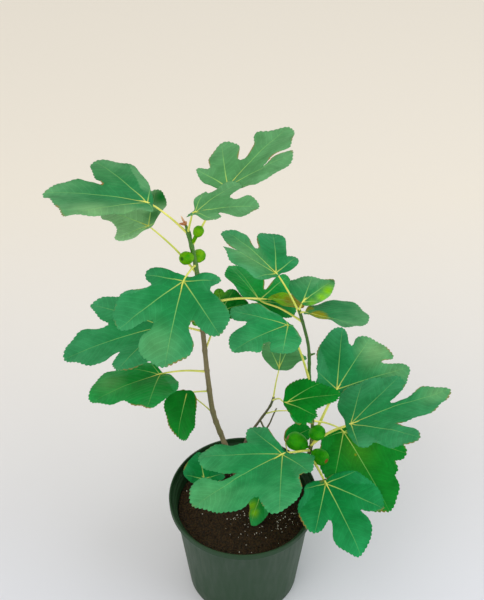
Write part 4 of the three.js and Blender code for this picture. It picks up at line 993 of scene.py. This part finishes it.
def blade_edge(leaf):
    """The blade's edge as evenly spaced points in millimetres."""
    turns, reaches = np.array(leaf["edge"] + leaf["edge"][:1]).T
    walk = leaf["length"] * reaches * np.array([np.cos(np.radians(turns)), np.sin(np.radians(turns))])
    run = np.cumsum([0, *np.hypot(*np.diff(walk))])
    stops = np.linspace(0, run[-1], round(run[-1] / edge_spacing(leaf)), endpoint=False)
    points = np.stack([np.interp(stops, run, row) for row in walk], axis=1)
    for _ in range(ROUNDING):
        points = (np.roll(points, 1, axis=0) + 2 * points + np.roll(points, -1, axis=0)) / 4
    reach = np.hypot(*points.T) / leaf["length"]
    depth = TOOTH * leaf.get("teeth", 1) * np.clip(reach / TOOTHLESS - 1, 0, 1)
    return points * (1 + depth * np.resize(TEETH, len(points)) / reach)[:, None]


print("the largest leaf's edge has", len(blade_edge(LEAVES["right_leaf"][1][8])), "points")

# %% [markdown]
# ## Veins
#
# One main vein runs from the stalk to the end of each lobe. Any place on the blade belongs to the vein
# whose direction is nearest. Its distance along that vein and its distance across from it steer everything
# that follows: the grooves, the swellings and the colours.

# %% Veins
SIDE_VEIN_SPACING = 10.0
SIDE_VEIN_LEAN = 0.55
SIDE_VEIN_CURL = 0.008
SIDE_VEIN_WANDER = 0.35
WANDER_WIDTH = 26
LEAVES_APART = 40


def vein_place(leaf, x, y, seed):
    """A place's distance across from its vein, its share of the way along, and its side vein count."""
    turn, reach = math.atan2(y, x), math.hypot(x, y)
    lean, share = min((abs(turn - math.radians(angle)), share) for angle, share in leaf["veins"])
    along = reach * math.cos(min(lean, math.pi / 2))
    across = reach * math.sin(min(lean, math.pi / 2))
    ahead = along - across * (SIDE_VEIN_LEAN + SIDE_VEIN_CURL * across)
    wander = SIDE_VEIN_WANDER * noise.noise(Vector((x, y, LEAVES_APART * seed)) / WANDER_WIDTH)
    return across, along / (share * leaf["length"]), ahead / SIDE_VEIN_SPACING + wander


print("main veins:", sum(len(leaf["veins"]) for _, leaves in LEAVES.values() for leaf in leaves))

# %% [markdown]
# ## The blade's surface
#
# The blade is a shallow V along its midrib and droops towards its edge. A slow wave runs along the margin,
# the blade swells a little between its side veins, and the main veins lie in grooves above and stand out
# as ribs below, where one feels them on a real leaf.

# %% Blade surface
FOLD = math.tan(math.radians(10))
FOLD_ROUND = 0.04
DROOP = 0.12
WAVE = 1.7
WAVE_LENGTH = 46
WAVE_DEPTH = 14
UNEVEN = 2.2
UNEVEN_WIDTH = 38
SWELLING_BETWEEN = 0.35
SWELLING_START = 4
GROOVE = 0.5
RIB = 1.2
VEIN_HALF_WIDTH = 1.6
VEIN_SINKS = 0.8


def blade_frame(leaf):
    """The directions along the midrib, to its left and up from the blade."""
    turn, climb, bank = [math.radians(leaf[key]) for key in ("heading", "pitch", "roll")]
    along = Vector((math.cos(turn) * math.cos(climb), math.sin(turn) * math.cos(climb), math.sin(climb)))
    level = Vector((-math.sin(turn), math.cos(turn), 0))
    left = Matrix.Rotation(bank, 3, along) @ level
    return along, left, along.cross(left)


def blade_lift(leaf, x, y):
    """How far the blade's plain surface stands above its flat plane, in millimetres."""
    crease = FOLD_ROUND * leaf["length"]
    fold = FOLD * (math.hypot(y, crease) - crease)
    return fold - DROOP * (x * x + y * y) / leaf["length"]


def blade_relief(place, edge_walk, edge_gap, seed, upper_side):
    """How far the waves, swellings and veins lift a place of one side of the blade."""
    across, share, count = place
    wave = WAVE * math.exp(-edge_gap / WAVE_DEPTH) * math.sin(2 * math.pi * edge_walk / WAVE_LENGTH + seed)
    between = SWELLING_BETWEEN * abs(math.sin(math.pi * count))
    between *= min(1, edge_gap / SWELLING_START, across / SWELLING_START)
    vein = max(0, 1 - across / VEIN_HALF_WIDTH) * max(0, 1 - VEIN_SINKS * share)
    return wave + between - (GROOVE if upper_side else RIB) * vein


print("a blade 100 mm long droops", -round(blade_lift({"length": 100}, 100, 0)), "mm at its tip")

# %% [markdown]
# ## Leaf materials
#
# A fig leaf is thick and leathery. Its upper side is a dull, slightly blue green, its main veins are yellow
# at the stalk, turn pale green and taper towards the lobes' tips, and side veins branch off them like the
# barbs of a feather. A fine net joins these. The underside is paler and felted, and a few edges are dry.
#
# The veins follow the blade, so they are read from two maps that the mesh carries. One gives the number of
# side veins passed and the distance across from the main vein, the other the share of the way along it and
# the distance from the edge. Side veins are where the count is a whole number.

# %% Vein pattern
MAIN_VEIN = (0.0, 1.0, 1.0, 0.4)
VEIN_SHOWS = (0.1, 1.0, 0.75, 0.1)
VEIN_BORDER = (0.55, 1.1, 1.0, 0.0)
SIDE_VEIN = (0.02, 0.1, 0.22, 0.0)
NET = 2.6 * MM
NET_LINE = (0.0, 0.12, 0.12, 0.0)


def vein_pattern(tree, place, share, across, count):
    """How much of the main veins and of the fine lines shows, and how far off the side veins are."""
    width = add(tree, "MapRange", [share, *MAIN_VEIN]).outputs[0]
    shows = add(tree, "MapRange", [share, *VEIN_SHOWS]).outputs[0]
    inside = add(tree, "Math", [across, width], operation="DIVIDE").outputs[0]
    inside = add(tree, "MapRange", [inside, *VEIN_BORDER]).outputs[0]
    main = add(tree, "Math", [inside, shows], operation="MULTIPLY").outputs[0]
    between = add(tree, "Math", [count, 0.5], operation="PINGPONG").outputs[0]
    side = add(tree, "MapRange", [between, *SIDE_VEIN]).outputs[0]
    cells = add(tree, "TexVoronoi", {"Vector": place, "Scale": 1 / NET}, feature="DISTANCE_TO_EDGE")
    net = add(tree, "MapRange", [cells.outputs["Distance"], *NET_LINE]).outputs[0]
    lines = add(tree, "Math", [side, net], operation="MAXIMUM").outputs[0]
    return main, lines, between


print("net:", round(NET / MM, 1), "mm from line to line")

# %% [markdown]
# Between the veins the green turns towards each tint's tip colour near the lobes' tips, which is a paler,
# greyer painted sheen on most leaves and a real browning on the rusty one, and it is mottled. The patches
# are laid over it from the mesh's colour attribute, which tells how much painted shade or painted sheen,
# how lime and how rusty each place is. Rust breaks up into spots.

# %% Green of a blade
# Painted sheen and painted shade: the paler, greyer green stands for light glancing off the blade, the
# darker one for shade.
PAINTED_SHEEN_GREEN = "#8dbd7c"
PAINTED_SHADE_GREEN = "#04641f"
LIME_GREEN = "#7fc21a"
RUST = "#868a14"
MOTTLE_SHARE = 0.6
TIP_TURN = (0.7, 1.4)
PAINTED_SHEEN_RANGE = (0.5, 1.0)
PAINTED_SHADE_RANGE = (0.5, 0.0)
RUST_BREAK = 0.8
RUSTED = (0.75, 1.1)


def blade_green(tree, mottle, spots, share, base, tip):
    """The colour of a blade between its veins."""
    tinge = add(tree, "SeparateColor", [add(tree, "Attribute", attribute_name="tinges").outputs["Color"]])
    # Painted sheen: towards the lobes' tips the green turns to the tint's paler, greyer tip colour.
    outward = add(tree, "Math", [mottle, MOTTLE_SHARE, share], operation="MULTIPLY_ADD").outputs[0]
    outward = add(tree, "MapRange", [outward, *TIP_TURN]).outputs[0]
    # Painted sheen above a middle red of the tinges, painted shade below it.
    painted_light = add(tree, "MapRange", [tinge.outputs[0], *PAINTED_SHEEN_RANGE]).outputs[0]
    painted_shade = add(tree, "MapRange", [tinge.outputs[0], *PAINTED_SHADE_RANGE]).outputs[0]
    rusty = add(tree, "Math", [spots, RUST_BREAK, tinge.outputs[2]], operation="MULTIPLY_ADD").outputs[0]
    rusty = add(tree, "MapRange", [rusty, *RUSTED]).outputs[0]
    tone = colour(base)
    for factor, code in ((outward, tip), (painted_light, PAINTED_SHEEN_GREEN), (painted_shade, PAINTED_SHADE_GREEN),
                         (tinge.outputs[1], LIME_GREEN), (rusty, RUST)):
        tone = add(tree, "Mix", {FACTOR: factor, FIRST: tone, SECOND: colour(code)},
                   data_type="RGBA").outputs[MIXED]
    return tone


print("patch colours:", PAINTED_SHEEN_GREEN, PAINTED_SHADE_GREEN, LIME_GREEN, RUST)

# %% [markdown]
# The veins and the green come together in the material of one side of a blade. Fine lines brighten the
# green, main veins cover it, and a dry margin covers both in a few stretches of the edge. Each tint is
# made twice, for the upper side and for the paler underside, and a leaf is dealt one of the tints.

# %% Leaf materials
# Painted light and shade: most tip colours are a paler, greyer painted sheen, while the rusty tip is a real
# browning. The lightest tint lifts a leaf that lies in shade, as painted light, and the deepest tint is the
# leaves' own deep green made darker still, as painted shade.
TINTS = {
    "silver": {"upper": "#4f9056", "tip": "#619f68", "under": "#8fb393"},
    "painted_light": {"upper": "#86bd82", "tip": "#93c48f", "under": "#96b792"},
    "greyish": {"upper": "#2b8049", "tip": "#5b9a66", "under": "#76a978"},
    "bluish": {"upper": "#218448", "tip": "#3c9460", "under": "#7da983"},
    "sea": {"upper": "#249050", "tip": "#46a268", "under": "#7da983"},
    "fresh": {"upper": "#0c8b32", "tip": "#2a9a4e", "under": "#6ea572"},
    "dusky": {"upper": "#097836", "tip": "#208a4e", "under": "#6ea572"},
    "deep_in_painted_shade": {"upper": "#04751c", "tip": "#0e8228", "under": "#4f9652"},
    "rusty": {"upper": "#6fb008", "tip": "#a8882a", "under": "#b3ac5a"},
}
VEIN_COLOUR = "#dbe26c"
VEIN_END = "#a2dc78"
VEIN_TURN = (0.03, 0.35)
MARGIN_COLOUR = "#a8712f"
MOTTLE = 24 * MM
MOTTLE_VALUE = (0.3, 0.7, 0.86, 1.12)
RUST_SPOT = 7 * MM
DRY_PATCH = 42 * MM
DRY = (0.58, 0.68)
DRY_MARGIN = (0.4, 2.4, 0.8, 0.0)
# The real felt is finer than half a millimetre. It is drawn coarser, so that it shows.
FELT = 0.9 * MM
FELT_SHARE = 0.25
FELT_DEPTH = 0.8 * MM


def blade_material(name, base, tip, upper_side):
    """The material of one side of a blade."""
    material, tree = new_material(name)
    place = add(tree, "TexCoord").outputs["Object"]
    veins = add(tree, "SeparateXYZ", [add(tree, "UVMap", uv_map="veins").outputs[0]])
    reach = add(tree, "SeparateXYZ", [add(tree, "UVMap", uv_map="reach").outputs[0]])
    share, edge_gap = reach.outputs["X"], reach.outputs["Y"]
    mottle, spots, dryness, felt = [
        add(tree, "TexNoise", {"Vector": place, "Scale": 1 / size, "Detail": detail}).outputs["Fac"]
        for size, detail in ((MOTTLE, 3), (RUST_SPOT, 3), (DRY_PATCH, 1), (FELT, 2))]
    main, lines, between = vein_pattern(tree, place, share, veins.outputs["Y"], veins.outputs["X"])

    value = add(tree, "MapRange", [mottle, *MOTTLE_VALUE]).outputs[0]
    value = add(tree, "Math", [value, lines], operation="ADD").outputs[0]
    green = blade_green(tree, mottle, spots, share, base, tip)
    netted = add(tree, "HueSaturation", {"Color": green, "Value": value}).outputs[0]
    along = add(tree, "MapRange", [share, *VEIN_TURN]).outputs[0]
    sap = add(tree, "Mix", {FACTOR: along, FIRST: colour(VEIN_COLOUR), SECOND: colour(VEIN_END)},
              data_type="RGBA").outputs[MIXED]
    veined = add(tree, "Mix", {FACTOR: main, FIRST: netted, SECOND: sap}, data_type="RGBA").outputs[MIXED]
    margin = add(tree, "MapRange", [edge_gap, *DRY_MARGIN]).outputs[0]
    dryness = add(tree, "MapRange", [dryness, *DRY]).outputs[0]
    dry = add(tree, "Math", [margin, dryness], operation="MULTIPLY").outputs[0]
    tone = add(tree, "Mix", {FACTOR: dry, FIRST: veined, SECOND: colour(MARGIN_COLOUR)},
               data_type="RGBA").outputs[MIXED]

    height = add(tree, "Math", [felt, FELT_SHARE, between], operation="MULTIPLY_ADD").outputs[0]
    relief = add(tree, "Bump", {"Height": height, "Strength": 0.4, "Distance": FELT_DEPTH},
                 invert=not upper_side).outputs[0]
    shader = add(tree, "BsdfPrincipled", {
        "Base Color": tone, "Roughness": 0.55 if upper_side else 0.85,
        "Specular IOR Level": 0.06, "Sheen Weight": 0.0 if upper_side else 0.1, "Normal": relief})
    add(tree, "OutputMaterial", {"Surface": shader.outputs[0]})
    return material


leaf_skins = {
    name: [blade_material(f"fig_leaf_{name}_upper", tint["upper"], tint["tip"], True),
           blade_material(f"fig_leaf_{name}_underside", tint["under"], tint["under"], False)]
    for name, tint in TINTS.items()
}
print("leaf materials:", 2 * len(leaf_skins))

# %% [markdown]
# ## Making a blade
#
# The outline starts as a round disc of one face, whose corners are moved out to the edge. Cutting it again
# and again by upright planes, first one way and then the other, turns it into small cells like those of
# graph paper. This keeps the narrow slits clean, where a fan of triangles from the stalk would fold over.
# Three more cuts along each main vein give its groove a sharp bottom and two shoulders. The sheet then gets
# its thickness and is bent as the surface says.

# %% Cut the flat blade
CELLS = 56
CELL_START = 0.37
CUT_NEAR = 0.001
BLADE_THICKNESS = 0.6


def flat_blade(leaf, edge):
    """The filled outline as a flat sheet of small cells, with its thickness."""
    bm = bmesh.new()
    corners = bmesh.ops.create_circle(bm, cap_ends=True, segments=len(edge), radius=1)["verts"]
    for corner, (x, y) in zip(corners, edge):
        corner.co = (x, y, 0)
    cell = leaf["length"] / CELLS
    for axis in (0, 1):
        direction = Vector((1 - axis, axis, 0))
        low, high = edge[:, axis].min(), edge[:, axis].max()
        for step in range(math.ceil(low / cell), math.floor(high / cell) + 1):
            bmesh.ops.bisect_plane(bm, geom=bm.verts[:] + bm.edges[:] + bm.faces[:], dist=CUT_NEAR,
                                   plane_co=direction * (step + CELL_START) * cell, plane_no=direction)
    for angle, share in leaf["veins"]:
        ahead = Vector((math.cos(math.radians(angle)), math.sin(math.radians(angle)), 0))
        aside = Vector((-ahead.y, ahead.x, 0))
        strip = set()
        for face in bm.faces:
            middle = face.calc_center_median()
            if (-cell < middle.dot(ahead) < share * leaf["length"]
                    and abs(middle.dot(aside)) < VEIN_HALF_WIDTH + cell):
                strip.update((face, *face.edges, *face.verts))
        strip = list(strip)
        for side in (-1, 0, 1):
            strip = bmesh.ops.bisect_plane(bm, geom=strip, dist=CUT_NEAR, plane_no=aside,
                                           plane_co=aside * side * VEIN_HALF_WIDTH)["geom"]
    bmesh.ops.recalc_face_normals(bm, faces=bm.faces)
    bmesh.ops.solidify(bm, geom=bm.faces[:], thickness=BLADE_THICKNESS)
    return bm


print("cells in a blade 100 mm long are", round(100 / CELLS, 1), "mm wide")

# %% [markdown]
# Each patch of a leaf is strongest at its middle and fades out on all sides. Where two of a kind meet, the
# stronger one counts. One colour holds all four kinds: red for painted shade to painted sheen, green for
# lime, blue for rust.

# %% Tinges
def tinges_at(leaf, patches, x, y):
    """How much painted shade or painted sheen, how lime and how rusty a place is, as a colour. A middle red
    is plain.
    """
    amounts = dict.fromkeys(("painted_light", "painted_shade", "lime", "rust"), 0.0)
    for kind, angle, share, width, strength in patches:
        reach, turn = share * leaf["length"], math.radians(angle)
        gap = math.hypot(x - reach * math.cos(turn), y - reach * math.sin(turn))
        amounts[kind] = max(amounts[kind], strength * math.exp(-(gap / (width * leaf["length"])) ** 2))
    return 0.5 + 0.5 * (amounts["painted_light"] - amounts["painted_shade"]), amounts["lime"], amounts["rust"], 1.0


print("a plain place is coloured", tinges_at({"length": 1}, [], 0, 0))

# %% [markdown]
# Every corner of the sheet learns where it is on the blade before it is moved: its vein place goes into
# the two maps, the patches into the colour attribute, and the surface's rules lift it to its real place.
# Only faces that look down wear the underside's material, so the sheet's narrow rim is green.

# %% Bend the blade
LOOKS_DOWN = -0.5


def make_blade(leaf, patches, seed):
    """One leaf blade as a bmesh with its two maps and its tinges."""
    edge = blade_edge(leaf)
    bm = flat_blade(leaf, edge)
    bm.normal_update()
    middle = sum(vert.co.z for vert in bm.verts) / len(bm.verts)
    for face in bm.faces:
        face.material_index = 1 if face.normal.z < LOOKS_DOWN else 0
    along, left, up = blade_frame(leaf)
    root = Vector(leaf["root"]) * MM
    vein_map = bm.loops.layers.uv.new("veins")
    reach_map = bm.loops.layers.uv.new("reach")
    tinges = bm.verts.layers.float_color.new("tinges")
    maps = {}
    for vert in bm.verts:
        x, y, upper_side = vert.co.x, vert.co.y, vert.co.z > middle
        vert[tinges] = tinges_at(leaf, patches, x, y)
        gaps = np.hypot(edge[:, 0] - x, edge[:, 1] - y)
        nearest = int(gaps.argmin())
        place = vein_place(leaf, x, y, seed)
        lift = blade_lift(leaf, x, y) + (0.5 if upper_side else -0.5) * BLADE_THICKNESS
        lift += blade_relief(place, nearest * edge_spacing(leaf), gaps[nearest], seed, upper_side)
        lift += UNEVEN * math.hypot(x, y) / leaf["length"] * noise.noise(
            Vector((x / UNEVEN_WIDTH, y / UNEVEN_WIDTH, seed)))
        vert.co = root + (along * x + left * y + up * lift) * MM
        across, share, count = place
        maps[vert] = ((count, across), (share, gaps[nearest]))
    for face in bm.faces:
        for loop in face.loops:
            loop[vein_map].uv, loop[reach_map].uv = maps[loop.vert]
    bmesh.ops.recalc_face_normals(bm, faces=bm.faces)
    return bm


trial = make_blade(LEAVES["left_leaf"][1][7], [], 0)
print("the smallest leaf's blade has", len(trial.verts), "corners")
trial.free()

# %% [markdown]
# All that is left is to make every blade. Each is a piece of its own, named for the solid it stands for,
# and its seed makes its waves and side veins its own.

# %% Make every blade
SEED_STEP = 1.7

for family, (_, leaves) in LEAVES.items():
    for number, leaf in enumerate(leaves, 1):
        node = f"{family}_{number}"
        blade = make_blade(leaf, PATCHES.get(node, []), seed=number * SEED_STEP + len(family))
        piece(node + "_blade", blade, leaf_skins[leaf["tint"]], [node])

# %% [markdown]
# ## Leaf stalks
#
# The stalk is a slim limb, swollen where it leaves the stem, that arches a little and runs on into the
# blade as its midrib. Fig stalks are a smooth pale yellow that turns greener in soft clouds. All of them
# are joined into one piece, because they share one finish.

# %% Stalk material
STALK_PALE = "#f6f07a"
STALK_GREEN = "#d8e05e"
STALK_CLOUD = 22 * MM
STALK_TURN = (0.35, 0.65)
STALK_GRAIN = 0.8 * MM
STALK_GRAIN_DEPTH = 0.15 * MM

stalk_skin, tree = new_material("leaf_stalk_skin")
place = add(tree, "TexCoord").outputs["Object"]
clouds = add(tree, "TexNoise", {"Vector": place, "Scale": 1 / STALK_CLOUD, "Detail": 2}).outputs["Fac"]
green = add(tree, "MapRange", [clouds, *STALK_TURN]).outputs[0]
tone = add(tree, "Mix", {FACTOR: green, FIRST: colour(STALK_PALE), SECOND: colour(STALK_GREEN)},
           data_type="RGBA").outputs[MIXED]
grain = add(tree, "TexNoise", {"Vector": place, "Scale": 1 / STALK_GRAIN}).outputs["Fac"]
relief = add(tree, "Bump", {"Height": grain, "Strength": 0.3, "Distance": STALK_GRAIN_DEPTH}).outputs[0]
shader = add(tree, "BsdfPrincipled", {"Base Color": tone, "Roughness": 0.5, "Normal": relief})
add(tree, "OutputMaterial", {"Surface": shader.outputs[0]})
print("material:", stalk_skin.name)

# %% [markdown]
# A stalk's line starts in the middle of its stem and ends sunk in the blade, so that both joints are closed.
# It thins out over its last stretch, where it turns into the midrib.

# %% Grow the stalks
STALK_RADIUS = 1.7
STALK_TAPER = 0.62
STALK_ARCH = 0.06
STALK_ROOT = 0.14
STALK_FOOT = 0.45
STALK_FOOT_FADE = 18
STALK_END = 0.18
STALK_END_THIN = 0.25
STALK_SIDES = 12
STALK_STEP = 3 * MM


def stalk_line(leaf, stem_line):
    """The stalk's centre line, from the middle of its stem to well inside the blade."""
    start = point_at_height(stem_line, leaf["from"]) / MM
    root = Vector(leaf["root"])
    middle = start.lerp(root, 0.5)
    middle.z += leaf.get("arch", STALK_ARCH) * (root - start).length
    along, _, up = blade_frame(leaf)
    reach = STALK_ROOT * leaf["length"]
    sunk = root + along * reach + up * blade_lift(leaf, reach, 0)
    return smooth_line([start, middle, root, sunk], STALK_STEP)


def stalk_girth(share):
    """How thick a stalk is at a share of its length, against its plain radius."""
    girth = 1 + (STALK_TAPER - 1) * share + STALK_FOOT * math.exp(-share * STALK_FOOT_FADE)
    return girth * max(STALK_END_THIN, min(1, (1 - share) / STALK_END))


bm = bmesh.new()
for stem_name, leaves in LEAVES.values():
    for leaf in leaves:
        thick = leaf.get("stalk", STALK_RADIUS) * MM
        limb(bm, stalk_line(leaf, LINES[stem_name]), lambda t: thick * stalk_girth(t), STALK_SIDES)
bmesh.ops.recalc_face_normals(bm, faces=bm.faces)
piece("leaf_stalks", bm, [stalk_skin])

# %% [markdown]
# ## Figs
#
# A green fig is a pear-shaped belly on a short neck with a small eye at its far end, which is dark green
# while the fig is young and reddens later. It starts as a ball whose parallels are moved to the fig's own
# profile. Faint ribs run from the neck to the eye. The skin is dull with small paler dots, so that its
# yellow green stays rich.

# %% Fig skins
FIG_COLOURS = {
    "left_figs": {"shade": "#389200", "light": "#7fb800", "eye": "#2a6406"},
    "right_figs": {"shade": "#0c8404", "light": "#38a206", "eye": "#8a4b22"},
}
FIG_DOT = "#8cc02e"
CLOUD = 12 * MM
CLOUD_TURN = (0.3, 0.75)
DOT = 2.4 * MM
DOT_SIZE = (0.1, 0.18, 0.2, 0.0)
EYE_TURN = (0.968, 0.984)

fig_skins = {}
for name, tones in FIG_COLOURS.items():
    fig_skins[name], tree = new_material(name + "_green_skin")
    place = add(tree, "TexCoord").outputs["Object"]
    ends = add(tree, "SeparateXYZ", [add(tree, "UVMap", uv_map="profile").outputs[0]]).outputs["Y"]
    clouds = add(tree, "TexNoise", {"Vector": place, "Scale": 1 / CLOUD, "Detail": 2}).outputs["Fac"]
    light = add(tree, "MapRange", [clouds, *CLOUD_TURN]).outputs[0]
    dots = add(tree, "TexVoronoi", {"Vector": place, "Scale": 1 / DOT}).outputs["Distance"]
    dotted = add(tree, "MapRange", [dots, *DOT_SIZE]).outputs[0]
    eyed = add(tree, "MapRange", [ends, *EYE_TURN]).outputs[0]
    tone = colour(tones["shade"])
    for factor, code in ((light, tones["light"]), (dotted, FIG_DOT), (eyed, tones["eye"])):
        tone = add(tree, "Mix", {FACTOR: factor, FIRST: tone, SECOND: colour(code)},
                   data_type="RGBA").outputs[MIXED]
    shader = add(tree, "BsdfPrincipled", {"Base Color": tone, "Roughness": 0.5, "Specular IOR Level": 0.1})
    add(tree, "OutputMaterial", {"Surface": shader.outputs[0]})
print("materials:", list(fig_skins))

# %% [markdown]
# A fig hangs on its neck in the direction from the stem to its belly's centre. The neck's radius is a share
# of the belly's, and the back of the belly falls away more slowly than the front. At the far end the eye is
# pressed in. The profile map tells the skin how far along the fig each place is.

# %% Fig shape
FIG_SIDES = 32
FIG_RINGS = 28
FIG_NECK = 0.36
FIG_NECK_START = 4
FIG_BACK = 0.65
FIG_RIBS = 9
FIG_RIB_DEPTH = 0.02
EYE_RADIUS = 0.12
EYE_DEPTH = 0.1


def make_fig(bm, start, centre, belly, end):
    """Adds one fig, from where its neck leaves the stem to its eye. Its profile map runs from 0 to end."""
    profile_map = bm.loops.layers.uv.verify()
    reach = (centre - start).length
    axis = (centre - start).normalized()
    place = Matrix.LocRotScale(start, Vector((0, 0, 1)).rotation_difference(axis), None)
    verts = bmesh.ops.create_uvsphere(bm, u_segments=FIG_SIDES, v_segments=FIG_RINGS, radius=1)["verts"]
    shares = {}
    for vert in verts:
        share = 1 - math.acos(max(-1, min(1, vert.co.z))) / math.pi
        turn = math.atan2(vert.co.y, vert.co.x)
        height = (reach + belly) * share
        ahead = (height - reach) * (FIG_BACK if height < reach else 1)
        radius = math.sqrt(max(0, belly ** 2 - ahead ** 2))
        radius = max(radius, FIG_NECK * belly * min(1, FIG_NECK_START * share) if height < reach else 0)
        radius *= 1 + FIG_RIB_DEPTH * math.cos(FIG_RIBS * turn)
        if height > reach and radius < EYE_RADIUS * belly:
            height -= EYE_DEPTH * belly * (1 - radius / (EYE_RADIUS * belly))
        vert.co = place @ Vector((radius * math.cos(turn), radius * math.sin(turn), height))
        shares[vert] = share
    for face in {face for vert in verts for face in vert.link_faces}:
        for loop in face.loops:
            loop[profile_map].uv = (0, end * shares[loop.vert])


print("a fig has", FIG_SIDES * (FIG_RINGS - 1) + 2, "corners")

# %% [markdown]
# Each fig is given by the height at which its neck leaves the stem, its belly's centre and its belly's
# radius. On a young fig the eye hasn't coloured yet, so its map ends short of the eye's colour.

# %% Grow the figs
FIGS = {
    "left_figs": ("left_stem", [
        {"from": 712, "centre": (-62, 46, 743), "radius": 7.5, "young": True},
        {"from": 690, "centre": (-81, 38, 699), "radius": 9.5},
        {"from": 685, "centre": (-63, 63, 681), "radius": 9.5},
        {"from": 556, "centre": (-70, 42, 568), "radius": 6},
    ]),
    "right_figs": ("right_stem", [
        {"from": 268, "centre": (84, 54, 282), "radius": 15},
        {"from": 304, "centre": (119, 42, 317), "radius": 12.5, "young": True},
        {"from": 262, "centre": (126, 32, 267), "radius": 13},
    ]),
}
YOUNG_END = 0.95

for name, (stem_name, figs) in FIGS.items():
    bm = bmesh.new()
    bm.loops.layers.uv.new("profile")
    for fig in figs:
        make_fig(bm, point_at_height(LINES[stem_name], fig["from"]), Vector(fig["centre"]) * MM,
                 fig["radius"] * MM, YOUNG_END if fig.get("young") else 1)
    bmesh.ops.recalc_face_normals(bm, faces=bm.faces)
    piece(name, bm, [fig_skins[name]])

# %% [markdown]
# ## Last step
#
# The scene is brought up to date.

# %% Bring the scene up to date
bpy.context.view_layer.update()
